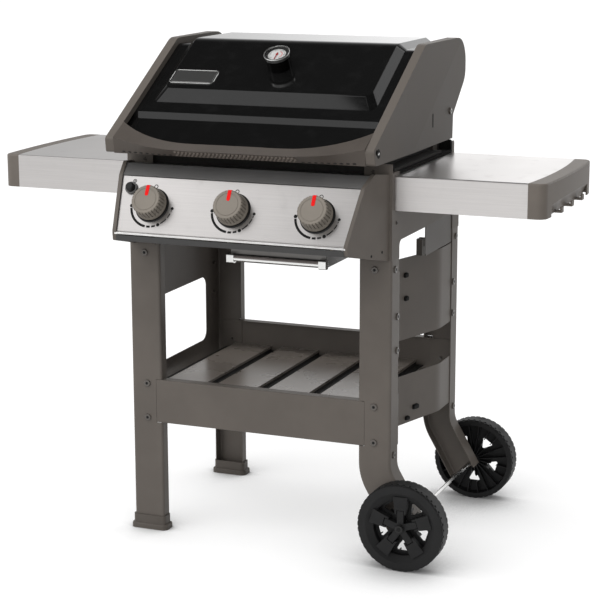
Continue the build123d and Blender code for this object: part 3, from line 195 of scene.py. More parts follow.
def pillow(place, width, height, rise, sink, corner):
    """Low rounded block: a rounded outline that draws in by a quarter turn of a circle as it rises."""
    draw_in, tighten = 0.6, 0.9
    turn = np.linspace(0, np.pi / 2, 4)
    inset = corner * draw_in * (1 - np.cos(turn))
    outlines = [rounded_rectangle(width, height, corner, steps=5)]
    outlines += [rounded_rectangle(width - 2 * i, height - 2 * i, corner - tighten * i, steps=5)
                 for i in inset]
    return stacked(place, outlines, [-sink, *(rise * np.sin(turn))])


def domes(places, half_width, half_height, rise, sink):
    """Low domes on many planes: rings of an ellipse that shrink by a cosine while they rise by a sine."""
    steps, turn = 10, np.radians([0.0, 40.0, 68.0, 90.0])
    angle = np.linspace(0, 2 * np.pi, steps, endpoint=False)[None, :]
    size = np.append(1.0, np.cos(turn))[:, None]
    height = np.append(-sink, rise * np.sin(turn))[:, None]
    across, up = half_width * size * np.cos(angle), half_height * size * np.sin(angle)
    faces = grid_faces(len(size), steps, close_columns=True)
    return joined([(place.at(across, up, height).reshape(-1, 3), faces) for place in places])


def landing(node, start, heading):
    """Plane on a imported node's surface where a straight line from a point first meets it."""
    mesh = frame["nodes"][node].data
    tree = BVHTree.FromPolygons([v.co for v in mesh.vertices], [p.vertices for p in mesh.polygons])
    spot, normal, _, _ = tree.ray_cast(Vector(start), Vector(heading))
    level = np.cross((0, 0, 1), normal) if abs(normal.z) < 0.9 else (1, 0, 0)
    return Place(spot, level, normal)


# Shader maths


class Wire:
    """A shader socket that takes part in Python expressions and adds the nodes that they need."""

    def __init__(self, nodes, socket):
        self.nodes, self.socket = nodes, socket

    def _maths(self, operation, first, second):
        return self.nodes.node("ShaderNodeMath", {"operation": operation}, {0: first, 1: second})

    def __add__(self, other):
        return self._maths("ADD", self, other)

    def __sub__(self, other):
        return self._maths("SUBTRACT", self, other)

    def __mul__(self, other):
        return self._maths("MULTIPLY", self, other)

    def __rsub__(self, other):
        return self._maths("SUBTRACT", other, self)

    __radd__ = __add__
    __rmul__ = __mul__

    def ramp(self, low, high, to_low=0.0, to_high=1.0):
        """This value carried smoothly from one range to another."""
        ranges = {"From Min": low, "From Max": high, "To Min": to_low, "To Max": to_high}
        smooth = {"interpolation_type": "SMOOTHSTEP"}
        return self.nodes.node("ShaderNodeMapRange", smooth, {"Value": self, **ranges})


class Nodes:
    """A node tree in the making."""

    def __init__(self, tree):
        self.tree = tree

    def node(self, kind, settings, inputs, output=0):
        """Any node: its settings first, then values or links for its sockets; gives one output."""
        made = self.tree.nodes.new(kind)
        for key, value in settings.items():
            setattr(made, key, value)
        for key, value in inputs.items():
            if isinstance(value, Wire):
                self.tree.links.new(value.socket, made.inputs[key])
            else:
                made.inputs[key].default_value = value
        return Wire(self, made.outputs[output])

    def vectors(self, operation, first, second, output="Vector"):
        """Vector maths on two vectors."""
        return self.node("ShaderNodeVectorMath", {"operation": operation}, {0: first, 1: second}, output)

    def seen(self):
        """Two masks: what the camera sees directly, and what it sees in a reflection or through glass."""
        camera, glossy, through = [self.node("ShaderNodeLightPath", {}, {}, f"Is {kind} Ray")
                                   for kind in ("Camera", "Glossy", "Transmission")]
        return camera, glossy + through


class Finish(Nodes):
    """One material in the making: its nodes, its shader and the values that vary over it."""

    def __init__(self, name, **constants):
        self.material = bpy.data.materials.new(name)
        self.material.use_nodes = True
        super().__init__(self.material.node_tree)
        self.shader = self.tree.nodes["Principled BSDF"]
        for socket, value in constants.items():
            self.shader.inputs[socket.replace("_", " ")].default_value = value
        self.place = self.node("ShaderNodeTexCoord", {}, {}, "Object")

    def set(self, socket, wire):
        """Link a varying value to the shader."""
        self.tree.links.new(wire.socket, self.shader.inputs[socket])

    def height(self, place):
        """Height over a plane."""
        from_origin = self.vectors("SUBTRACT", self.place, tuple(place.origin))
        return self.vectors("DOT_PRODUCT", from_origin, tuple(place.out), "Value")

    def reach(self, place):
        """Distance from the axis that stands on a plane's origin."""
        from_origin = self.vectors("SUBTRACT", self.place, tuple(place.origin))
        off_axis = self.vectors("CROSS_PRODUCT", from_origin, tuple(place.out))
        return self.node("ShaderNodeVectorMath", {"operation": "LENGTH"}, {0: off_axis}, "Value")

    def noise(self, scale, detail=3.0, rough=0.55, stretch=None):
        """Noise over the piece's own coordinates, stretched along an axis if asked."""
        where = self.place
        if stretch is not None:
            where = self.node("ShaderNodeMapping", {}, {"Vector": where, "Scale": stretch})
        grain = {"Scale": scale, "Detail": detail, "Roughness": rough}
        return self.node("ShaderNodeTexNoise", {}, {"Vector": where, **grain})

    def specks(self, scale):
        """Distance to the nearest of many scattered points, for grain and pits."""
        return self.node("ShaderNodeTexVoronoi", {}, {"Vector": self.place, "Scale": scale})

    def blend(self, factor, first, second):
        """Colour between two colours."""
        return self.node("ShaderNodeMix", {"data_type": "RGBA"}, {0: factor, 6: first, 7: second}, 2)

    def bump(self, height, strength, distance, round_edge=0.0):
        """Surface relief from a height, over softly rounded edges if a radius is given."""
        inputs = {"Height": height, "Strength": strength, "Distance": distance}
        if round_edge:
            inputs["Normal"] = self.soft_edge(round_edge)
        self.set("Normal", self.node("ShaderNodeBump", {}, inputs))

    def soft_edge(self, radius):
        """Normal that is rounded over sharp edges."""
        return self.node("ShaderNodeBevel", {"samples": 4}, {"Radius": radius})

    def edge(self, radius):
        """Mask that is one along sharp edges: how far the rounded normal leaves the true one."""
        true = self.node("ShaderNodeNewGeometry", {}, {}, "Normal")
        agree = self.vectors("DOT_PRODUCT", self.soft_edge(radius), true, "Value")
        return (1.0 - agree).ramp(0.02, 0.22)


def tint(colour, gain):
    """Colour made lighter or darker by a factor, opaque."""
    return (*[min(channel * gain, 1.0) for channel in colour[:3]], 1.0)


def powder_coat(name, colour, rough=0.46, gloss=0.26, painted_shade_beyond=(), rim=0.0):
    """Satin powder coat: fine orange peel, faint clouding, paint worn pale along the edges. Where planes are
    given it is painted shade, black and dull, beyond all of them. Where a rim factor is given, faces that
    don't look along X are that much lighter or darker, as painted light and shade."""
    f = Finish(name, Specular_IOR_Level=gloss)
    cloud = f.noise(9.0)
    wear = f.edge(0.0016) * f.noise(60.0).ramp(0.42, 0.66)
    body = f.blend(cloud.ramp(0.3, 0.7), tint(colour, 0.93), tint(colour, 1.07))
    body = f.blend(wear * 0.45, body, tint(colour, 1.9))
    skin = rough + (cloud - 0.5) * 0.14 + wear * 0.1
    # painted light and shade: faces that don't look along X take the rim factor
    if rim:
        facing = f.node("ShaderNodeNewGeometry", {}, {}, "Normal")
        sideways = f.node("ShaderNodeSeparateXYZ", {}, {0: facing}, "X")
        body = f.blend((sideways * sideways).ramp(0.3, 0.7), tint(colour, rim), body)
    # painted shade: black and dull beyond the planes
    if painted_shade_beyond:
        beyond = math.prod(f.height(place).ramp(-0.001, 0.001) for place in painted_shade_beyond)
        body = f.blend(beyond, body, tint(colour, 0.06))
        skin = skin + beyond * 0.45
    f.set("Base Color", body)
    f.set("Roughness", skin)
    f.bump(f.noise(700.0, 2.0), strength=0.16, distance=0.00025, round_edge=0.0011)
    return f.material


def moulded_plastic(name, colour, rough=0.5, grain=1300.0):
    """Moulded plastic: spark-eroded grain, slight flow clouding and rubbed edges."""
    f = Finish(name, Specular_IOR_Level=0.3)
    cloud = f.noise(14.0)
    rub = f.edge(0.0018) * f.noise(40.0).ramp(0.4, 0.65)
    body = f.blend(cloud.ramp(0.3, 0.7), tint(colour, 0.94), tint(colour, 1.06))
    f.set("Base Color", f.blend(rub * 0.35, body, tint(colour, 1.7)))
    f.set("Roughness", rough + (cloud - 0.5) * 0.12 - rub * 0.12)
    f.bump(f.specks(grain), strength=0.14, distance=0.0002, round_edge=0.0014)
    return f.material


def porcelain_enamel(name, colour):
    """Fired black enamel: deep gloss with a slow ripple, fine pinholes and a thin film of dust."""
    f = Finish(name, Specular_IOR_Level=0.44)
    dust = f.noise(22.0, 5.0).ramp(0.5, 0.8)
    pits = f.specks(240.0).ramp(0.0, 0.08, 1.0, 0.0)
    f.set("Base Color", f.blend(dust * 0.03, tint(colour, 1.0), (0.11, 0.11, 0.11, 1.0)))
    f.set("Roughness", 0.075 + dust * 0.04 + pits * 0.05)
    f.bump(f.noise(16.0, 1.0), strength=0.025, distance=0.002, round_edge=0.0015)
    return f.material


def brushed_steel(name, colour, rough=0.32):
    """Brushed stainless sheet: long fine scratches along X, with slow clouding and finger marks."""
    f = Finish(name, Metallic=1.0)
    lines = f.noise(1.0, 4.0, 0.65, stretch=(6.0, 420.0, 420.0))
    cloud = f.noise(5.0, 2.0)
    marks = f.noise(28.0, 4.0).ramp(0.58, 0.74)
    body = f.blend(lines.ramp(0.25, 0.75), tint(colour, 0.95), tint(colour, 1.04))
    f.set("Base Color", f.blend(marks * 0.1, body, tint(colour, 0.75)))
    f.set("Roughness", rough + (lines - 0.5) * 0.12 + (cloud - 0.5) * 0.1 + marks * 0.05)
    f.bump(lines, strength=0.1, distance=0.0001, round_edge=0.0008)
    return f.material


def bright_metal(name, colour, rough=0.14):
    """Plated bright metal: faint wipe marks and small dulled spots."""
    f = Finish(name, Metallic=1.0)
    wipe = f.noise(35.0, 4.0)
    f.set("Base Color", f.blend(wipe.ramp(0.3, 0.7), tint(colour, 0.92), tint(colour, 1.05)))
    f.set("Roughness", rough + (wipe - 0.5) * 0.16)
    f.bump(f.noise(300.0, 2.0), strength=0.04, distance=0.0002, round_edge=0.0007)
    return f.material


def cast_metal(name, colour, rough, metal):
    """Sand-cast metal: a coarse skin with pits, paler where it has been rubbed."""
    f = Finish(name, Metallic=metal)
    skin = f.noise(260.0, 4.0, 0.6)
    rub = f.edge(0.002) * f.noise(50.0).ramp(0.4, 0.7)
    body = f.blend(skin.ramp(0.3, 0.7), tint(colour, 0.8), tint(colour, 1.2))
    f.set("Base Color", f.blend(rub * 0.5, body, tint(colour, 2.4)))
    f.set("Roughness", rough + (skin - 0.5) * 0.2)
    f.bump(skin, strength=0.4, distance=0.0006, round_edge=0.0015)
    return f.material


def heated_steel(name, colour):
    """Drawn steel that has been hot: straw bands that drift along it, dull where sooty."""
    f = Finish(name, Metallic=1.0)
    heat = f.noise(7.0, 2.0)
    soot = f.noise(30.0, 4.0).ramp(0.52, 0.75)
    straw = f.blend(heat.ramp(0.35, 0.65), tint(colour, 1.0), (0.42, 0.33, 0.2, 1.0))
    f.set("Base Color", f.blend(soot * 0.6, straw, (0.06, 0.055, 0.05, 1.0)))
    f.set("Roughness", 0.34 + (heat - 0.5) * 0.15 + soot * 0.25)
    f.bump(f.noise(120.0, 3.0), strength=0.1, distance=0.0003, round_edge=0.0006)
    return f.material


def tyre_plastic(name, colour):
    """Tough wheel moulding: patches of dust, and edges lighter, partly scuffed and partly a painted
    highlight.
    """
    f = Finish(name, Specular_IOR_Level=0.28)
    dust = f.noise(30.0, 4.0).ramp(0.45, 0.75)
    # the light edges are partly scuff wear and partly a painted highlight on the spokes
    rub = f.edge(0.002) * f.noise(70.0).ramp(0.4, 0.66)
    body = f.blend(dust * 0.35, tint(colour, 1.0), tint(colour, 1.5))
    f.set("Base Color", f.blend(rub * 0.6, body, tint(colour, 5.0)))
    f.set("Roughness", 0.52 + dust * 0.14)
    f.bump(f.specks(900.0), strength=0.16, distance=0.0003, round_edge=0.0014)
    return f.material


def printed_ink(name, colour):
    """Screen-printed ink: slightly uneven cover with a soft gloss."""
    f = Finish(name, Specular_IOR_Level=0.1)
    cover = f.noise(400.0, 3.0)
    f.set("Base Color", f.blend(cover.ramp(0.3, 0.7), tint(colour, 0.9), tint(colour, 1.1)))
    f.set("Roughness", 0.4 + (cover - 0.5) * 0.2)
    return f.material


def clear_glass(name):
    """Flat gauge glass: clear, with a trace of smear."""
    f = Finish(name, Base_Color=(0.02, 0.02, 0.02, 1.0), Specular_IOR_Level=0.6, Alpha=0.1)
    f.set("Roughness", f.noise(60.0).ramp(0.5, 0.9, 0.02, 0.1))
    return f.material


def two_tone_metal(name, place, level, below, above, painted=False):
    """Plated metal in two tones that meet at a level over a plane, with faint wipe marks. The tone below the
    level is not metallic if asked, for a painted reflection."""
    f = Finish(name, Metallic=1.0)
    wipe = f.noise(45.0, 3.0)
    upper = f.height(place).ramp(level - 0.0004, level + 0.0004)
    f.set("Base Color", f.blend(upper, tint(below, 1.0), tint(above, 1.0)))
    if painted:
        f.set("Metallic", upper)
    f.set("Roughness", 0.1 + wipe * 0.12)
    f.bump(f.noise(300.0, 2.0), strength=0.03, distance=0.0002, round_edge=0.0006)
    return f.material


def dial_card(name, place, rim):
    """Gauge dial: pale printed card with a black border outside a radius."""
    f = Finish(name, Specular_IOR_Level=0.35)
    cover = f.noise(300.0, 3.0)
    card = f.blend(cover.ramp(0.3, 0.7), (0.66, 0.66, 0.65, 1.0), (0.76, 0.76, 0.75, 1.0))
    border = f.reach(place).ramp(rim - 0.0003, rim + 0.0003)
    f.set("Base Color", f.blend(border, card, (0.01, 0.01, 0.01, 1.0)))
    f.set("Roughness", 0.45 + (cover - 0.5) * 0.2)
    return f.material


def crinkled_foil(name, colour):
    """Thin pressed foil with shallow crinkles."""
    f = Finish(name, Metallic=1.0)
    crease = f.specks(70.0)
    f.set("Base Color", f.blend(crease, tint(colour, 0.9), tint(colour, 1.05)))
    f.set("Roughness", 0.24 + f.noise(50.0) * 0.14)
    f.bump(crease, strength=0.3, distance=0.0015)
    return f.material


# Properties


def colour_choice(label, use, default):
    """Colour that a user may change."""
    return FloatVectorProperty(name=label, description=use, subtype="COLOR", default=default, min=0, max=1)


def length_choice(label, use, default):
    """Length that a user may change."""
    return FloatProperty(name=label, description=use, unit="LENGTH", default=default)


def angle_choice(label, use, degrees):
    """Angle that a user may change."""
    return FloatProperty(name=label, description=use, subtype="ANGLE", default=math.radians(degrees))


class GrillColours(bpy.types.PropertyGroup):
    """Colours of the grill's finishes."""
    enamel: colour_choice("Lid enamel", "Fired enamel on the lid", (0.004, 0.004, 0.004))
    coat: colour_choice("Powder coat", "Coat on the cart and the lid ends", (0.118, 0.103, 0.09))
    moulding: colour_choice("Mouldings", "Panel ends, table ends and feet", (0.12, 0.104, 0.09))
    handle: colour_choice("Handle", "Lid handle moulding", (0.071, 0.059, 0.05))
    trim: colour_choice("Dark trim", "Panel rail and skirt, knob bezels and igniter", (0.052, 0.051, 0.05))
    steel: colour_choice("Brushed steel", "Tables and control panel", (0.6, 0.58, 0.57))
    knob: colour_choice("Knobs", "Knob mouldings", (0.205, 0.181, 0.152))
    wheel: colour_choice("Wheels", "Wheel mouldings", (0.008, 0.008, 0.0083))
    signal: colour_choice("Signal red", "Knob marks and gauge pointer", (0.72, 0.004, 0.004))
    ink: colour_choice("Ink", "Printed marks", (0.012, 0.012, 0.012))


class GrillSizes(bpy.types.PropertyGroup):
    """Sizes of the printed marks and small fittings."""
    mark_radius: length_choice("Dial radius", "Radius of the printed arc round a knob", 0.05)
    mark_width: length_choice("Dial line", "Widest part of the printed arc", 0.0054)
    ink_rise: length_choice("Ink rise", "Height of printed ink over its sheet", 0.00025)
    pointer_width: length_choice("Knob mark", "Width of the red mark on a knob", 0.0082)
    plate_width: length_choice("Plate width", "Width of the bare plate on the lid", 0.112)
    plate_height: length_choice("Plate height", "Height of the bare plate on the lid", 0.052)
    grip_half: length_choice("Grip half", "Half the width of the handle's grip pattern", 0.142)
    grip_pitch: length_choice("Grip pitch", "Step of the handle's grip pattern", 0.0092)
    dash_half: length_choice("Dash half", "Half the width of the dashes beside the grip pattern", 0.275)
    dash_pitch: length_choice("Dash pitch", "Step of the dashes", 0.0145)
    tick_count: IntProperty(name="Gauge ticks", description="Ticks on the thermometer dial", default=26,
                            min=4)


class GrillView(bpy.types.PropertyGroup):
    """Camera of the main view."""
    stand: FloatVectorProperty(name="Camera place", description="Where the camera stands", unit="LENGTH",
                               default=(1.6146, -3.8830, 1.4576))
    bearing: angle_choice("Bearing", "Turn of the view from straight ahead", 22.226)
    dip: angle_choice("Dip", "How far the view looks down", 12.331)
    roll: angle_choice("Roll", "Roll of the camera", -0.139)
    lens: FloatProperty(name="Lens", description="Focal length in millimetres on a 36 mm frame",
                        unit="CAMERA", default=110.0)


# Operators

knob_sides = ("left", "middle", "right")
both_sides = (("left", -1), ("right", 1))
chrome = (0.72, 0.72, 0.71)
well_out = 0.5  # lines that look for a surface start this far from the middle, outside the cart


def dress(material, *nodes):
    """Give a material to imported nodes."""
    for node in nodes:
        for slot in frame["nodes"][node].material_slots:
            slot.material = material


def fitted(name, form, body, material, smooth=False):
    """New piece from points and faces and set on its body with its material."""
    piece = outward(put_mesh(name, *form, smooth))
    piece.data.materials.append(material)
    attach(piece, body)


def rubber_and_painted_shade():
    """Dull black: rubber of the pads and plugs, painted shade in bolt sockets, slots and screw recesses."""
    made = bpy.data.materials.get("rubber_and_shade_black")
    return made or moulded_plastic("rubber_and_shade_black", (0.006, 0.006, 0.006), rough=0.75, grain=700.0)


def screw_steel():
    """Bright steel of the lid's screws and of the hinge rings."""
    made = bpy.data.materials.get("screw_steel")
    return made or bright_metal("screw_steel", (0.66, 0.66, 0.65), rough=0.2)


class GRILL_OT_finishes(bpy.types.Operator):
    """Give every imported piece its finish"""
    bl_idname = "grill.finishes"
    bl_label = "Finishes"

    def execute(self, context):
        colours = context.scene.grill_colours
        self.coats(colours)
        self.mouldings(colours)
        self.metals(colours)
        self.gauge(colours)
        return {"FINISHED"}

    def coats(self, colours):
        """Powder coat on the cart and the lid ends, enamel on the lid."""
        dress(powder_coat("powder_coat", colours.coat), "leg_front_left", "leg_rear_left", "leg_front_right",
              "leg_rear_right", "shelf_front_rail", "shelf_rear_rail", "side_panel_left",
              "cylinder_guard_upper", "cylinder_guard_lower", "table_brackets", "hinge_brackets")
        # the shelf is painted dark in the grooves between its slats, as shade
        slat_depth = 0.006
        grooves = Place((0, 0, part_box("bottom_shelf")[1][2] - slat_depth), (1, 0, 0), (0, 0, -1))
        # the shelf's coat is painted lighter, a painted sheen of the light that it reflects
        pale = tint(colours.coat, 2.15)
        shelf = powder_coat("shelf_coat", pale, rough=0.28, gloss=1.0, painted_shade_beyond=[grooves])
        dress(shelf, "bottom_shelf")
        # the side frames are painted dark between their posts from just under the table tops upwards, as
        # shade under the lid
        table_lip, front_post, rear_post = 0.014, 0.046, 0.062
        low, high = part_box("side_frame_right")
        toned = [Place((0, 0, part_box("table_top_right")[1][2] - table_lip), (1, 0, 0), (0, 0, 1)),
                  Place((0, low[1] + front_post, 0), (1, 0, 0), (0, 1, 0)),
                  Place((0, high[1] - rear_post, 0), (1, 0, 0), (0, -1, 0))]
        side = powder_coat("side_coat", colours.coat, rough=0.5, gloss=0.19, painted_shade_beyond=toned)
        dress(side, "side_frame_left", "side_frame_right")
        # the lid ends are painted in shade on their sides, which look along X, and painted lighter where
        # light falls on their other faces
        lid_end = powder_coat("lid_end_coat", tint(colours.coat, 0.74), gloss=0.18, rim=1.35)
        dress(lid_end, "lid_end_left", "lid_end_right")
        # the hanger is the coat painted darker, as shade under the table
        dress(powder_coat("hanger_coat", tint(colours.coat, 0.6)), "cylinder_hanger")
        dress(powder_coat("bolt_coat", tint(colours.coat, 0.7), rough=0.28, gloss=0.6), "frame_bolts")
        dress(porcelain_enamel("black_enamel", colours.enamel), "lid_shroud")

    def mouldings(self, colours):
        """Plastic of the handle, panel, igniter, tables, feet, wheels and knobs."""
        dress(moulded_plastic("handle_moulding", colours.handle), "lid_handle")
        dress(moulded_plastic("taupe_moulding", colours.moulding), "panel_cap_left", "panel_cap_right")
        # the feet are the moulding painted darker, as shade low under the cart
        dress(moulded_plastic("foot_moulding", tint(colours.moulding, 0.75)), "feet")
        table_end = moulded_plastic("table_moulding", tint(colours.moulding, 1.22))
        dress(table_end, "table_end_left", "table_end_right")
        dress(moulded_plastic("dark_trim", colours.trim, rough=0.42), "panel_bottom_skirt")
        dress(moulded_plastic("rail_trim", tint(colours.trim, 2.6), rough=0.34), "panel_top_rail")
        black = moulded_plastic("black_trim", tint(colours.trim, 0.22), rough=0.36)
        dress(black, "knob_bezels", "igniter_button", "axle_caps")
        dress(moulded_plastic("igniter_grey", tint(colours.trim, 2.2), rough=0.4), "igniter_housing")
        knob = moulded_plastic("knob_moulding", colours.knob, rough=0.46, grain=1500.0)
        dress(knob, "knob_left", "knob_middle", "knob_right")
        dress(tyre_plastic("wheel_moulding", colours.wheel), "front_wheel", "rear_wheel")

    def metals(self, colours):
        """Sheet, plated, cast and heated metal."""
        brushed = brushed_steel("brushed_steel", colours.steel)
        dress(brushed, "control_panel", "table_top_left", "table_top_right")
        bright = bright_metal("bright_metal", chrome)
        dress(bright, "warming_rack", "stem_left", "stem_middle", "stem_right", "tray_handle_ends")
        # the tray's bar is bright below, and above it has a painted reflection in a dull grey-brown tone
        bar_painted_reflection, bar_line = (0.36, 0.32, 0.305), 0.0025
        underside = Place(node_middle("tray_handle_bar"), (1, 0, 0), (0, -0.5, -0.87))
        bar = two_tone_metal("bar_chrome", underside, bar_line, bar_painted_reflection, chrome, painted=True)
        dress(bar, "tray_handle_bar")
        # the axle's front end is dark in the wheel's hub
        dark_end, end_line = (0.02, 0.02, 0.02), -0.004
        hub = Place(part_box("front_wheel")[0], (1, 0, 0), (0, -1, 0))
        dress(two_tone_metal("axle_steel", hub, end_line, chrome, dark_end), "axle")
        dress(cast_metal("cast_alloy", (0.024, 0.022, 0.02), rough=0.85, metal=0.1), "cook_box")
        dress(cast_metal("cast_iron", (0.02, 0.02, 0.02), rough=0.6, metal=0.2), "grate_left", "grate_right")
        toned = heated_steel("heated_steel", (0.5, 0.48, 0.45))
        dress(toned, "burners", "heat_bars", "tray_rails", "gas_manifold")
        # the grease tray's steel is painted dark, as shade under the panel's skirt
        dress(bright_metal("tray_painted_shade", (0.13, 0.125, 0.12), rough=0.3), "grease_tray")
        dress(bright_metal("valve_brass", (0.62, 0.44, 0.17), rough=0.3), "gas_valves")
        dress(crinkled_foil("drip_foil", (0.7, 0.7, 0.7)), "drip_pan")

    def gauge(self, colours):
        """Thermometer: a drum whose chrome is painted dark as a reflection, under a bright collar, a printed
        dial, a pointer and a glass.
        """
        drum, collar_line, dial_border = (0.035, 0.035, 0.035), 0.0295, 0.0208
        # the drum's dark tone is a painted reflection of the dark lid and surroundings on its chrome
        dress(two_tone_metal("gauge_chrome", lid_place(), collar_line, drum, chrome), "thermometer_case")
        dress(dial_card("dial_card", lid_place(), dial_border), "thermometer_dial")
        dress(printed_ink("pointer_red", tint(colours.signal, 0.5)), "thermometer_pointer")
        dress(clear_glass("gauge_glass"), "thermometer_glass")


class GRILL_OT_panel_marks(bpy.types.Operator):
    """Print the setting arcs, dots and rings round the knobs"""
    bl_idname = "grill.panel_marks"
    bl_label = "Panel marks"

    def execute(self, context):
        colours, sizes = context.scene.grill_colours, context.scene.grill_sizes
        ink = printed_ink("panel_ink", colours.ink)
        # start and end in degrees and share of the full width: thick up to the middle dot, thin after it
        strokes = [(190, 262, 1.0), (266, 276, 0.9), (280, 290, 0.8),
                   (305, 324, 0.5), (328, 341, 0.42), (345, 350, 0.36)]
        # place in degrees and radius
        dots = [(184, 0.0042), (298, 0.0040), (355, 0.0034)]
        ring_height = 0.0445
        for side in knob_sides:
            place = fascia_place(side)
            parts = []
            for start, end, share in strokes:
                steps = 4 + (end - start) // 3
                turn = np.radians(np.linspace(start, end, steps))
                centres = sizes.mark_radius * np.stack([np.cos(turn), np.sin(turn)], 1)
                parts.append(carried(place, centres, share * sizes.mark_width, sizes.ink_rise))
            for degrees, radius in dots:
                turn = math.radians(degrees)
                spot = place.moved(sizes.mark_radius * math.cos(turn), sizes.mark_radius * math.sin(turn))
                parts.append(printed_dot(spot, radius, sizes.ink_rise, steps=20))
            off = place.moved(0.0, ring_height)
            parts.append(printed_ring(off, outer=0.0048, inner=0.0032, rise=sizes.ink_rise))
            fitted(f"panel_marks_{side}", joined(parts), "cart", ink)
        # the igniter's mark stands up and to the left of the first knob
        spark = fascia_place("left").moved(-0.055, 0.055)
        parts = [printed_ring(spark, outer=0.0044, inner=0.0029, rise=sizes.ink_rise),
                 printed_dot(spark, radius=0.0016, rise=sizes.ink_rise, steps=16)]
        fitted("igniter_mark", joined(parts), "cart", ink)
        return {"FINISHED"}


class GRILL_OT_knob_marks(bpy.types.Operator):
    """Set the red mark on each knob"""
    bl_idname = "grill.knob_marks"
    bl_label = "Knob marks"

    def execute(self, context):
        colours, sizes = context.scene.grill_colours, context.scene.grill_sizes
        red = printed_ink("knob_red", colours.signal)
        # the mark runs along the knob's own side profile from near its axis out over its edge: distance from
        # the axis, height over the panel and half width, with both long edges sunk into the knob
        up = np.array([0.0085, 0.0097, 0.0120, 0.030, 0.0318, 0.0343, 0.0351, 0.0356])
        out = np.array([0.0381, 0.0384, 0.0386, 0.0386, 0.0383, 0.0358, 0.0300, 0.0230])
        half = sizes.pointer_width / 2 * np.array([0.45, 0.8, 1.0, 1.0, 1.0, 1.0, 1.0, 1.0])
        across = np.stack([-half, -half, half, half], 0)
        sunk = np.array([0.0012, 0.0, 0.0, 0.0012])[:, None]
        faces = grid_faces(4, len(up), close_rows=True)
        for side in knob_sides:
            points = fascia_place(side).at(across, up - sunk, out - sunk).reshape(-1, 3)
            fitted(f"knob_mark_{side}", (points, faces), f"knob_{side}", red)
        return {"FINISHED"}


class GRILL_OT_lid_plate(bpy.types.Operator):
    """Set the bare metal plate on the lid's raised field"""
    bl_idname = "grill.lid_plate"
    bl_label = "Lid plate"

    def execute(self, context):
        sizes = context.scene.grill_sizes
        insets = [0.0, 0.0, 0.0008, 0.0022, 0.0030, 0.0030]
        heights = [0.0, 0.0018, 0.0026, 0.0026, 0.0018, 0.0]
        rim = self.layers(sizes.plate_width, sizes.plate_height, insets, heights, capped=False)
        rim_metal = bright_metal("plate_rim", (0.62, 0.62, 0.61), rough=0.22)
        fitted("lid_plate_rim", rim, "lid", rim_metal)
        insets, heights = [0.0045, 0.0045, 0.0054], [0.0, 0.0010, 0.0018]
        field = self.layers(sizes.plate_width, sizes.plate_height, insets, heights)
        field_metal = brushed_steel("plate_field", (0.3, 0.3, 0.295), rough=0.36)
        fitted("lid_plate_field", field, "lid", field_metal)
        return {"FINISHED"}

    def layers(self, width, height, insets, heights, capped=True):
        """Rounded outlines of the plate, each drawn in by its inset and raised to its height."""
        corner, from_gauge = 0.011, (-0.1935, -0.052)
        outlines = [rounded_rectangle(width - 2 * i, height - 2 * i, corner - i) for i in insets]
        return stacked(lid_place().moved(*from_gauge), outlines, heights, capped)


class GRILL_OT_gauge_marks(bpy.types.Operator):
    """Print the scale on the thermometer dial"""
    bl_idname = "grill.gauge_marks"
    bl_label = "Gauge marks"

    def execute(self, context):
        colours, sizes = context.scene.grill_colours, context.scene.grill_sizes
        dial_height, rise = 0.03302, 0.0001
        place = lid_place().moved(0.0, 0.0, dial_height)
        # inner radius and width of a tick; every fifth one is longer and wider
        long_tick, short_tick, outer = (0.0142, 0.0012), (0.0162, 0.0007), 0.0198
        parts = []
        for i, turn in enumerate(np.radians(np.linspace(235, -55, sizes.tick_count))):
            inner, width = short_tick if i % 5 else long_tick
            ends = np.outer([inner, outer], [math.cos(turn), math.sin(turn)])
            parts.append(carried(place, ends, width, rise))
        fitted("gauge_ticks", joined(parts), "lid", printed_ink("gauge_ink", colours.ink))
        # a band marks the hot part of the scale
        band_radius, band_width = 0.0122, 0.0014
        turn = np.radians(np.linspace(70, -50, 30))
        band = carried(place, band_radius * np.stack([np.cos(turn), np.sin(turn)], 1), band_width, rise)
        fitted("gauge_band", band, "lid", printed_ink("gauge_red", colours.signal))
        return {"FINISHED"}


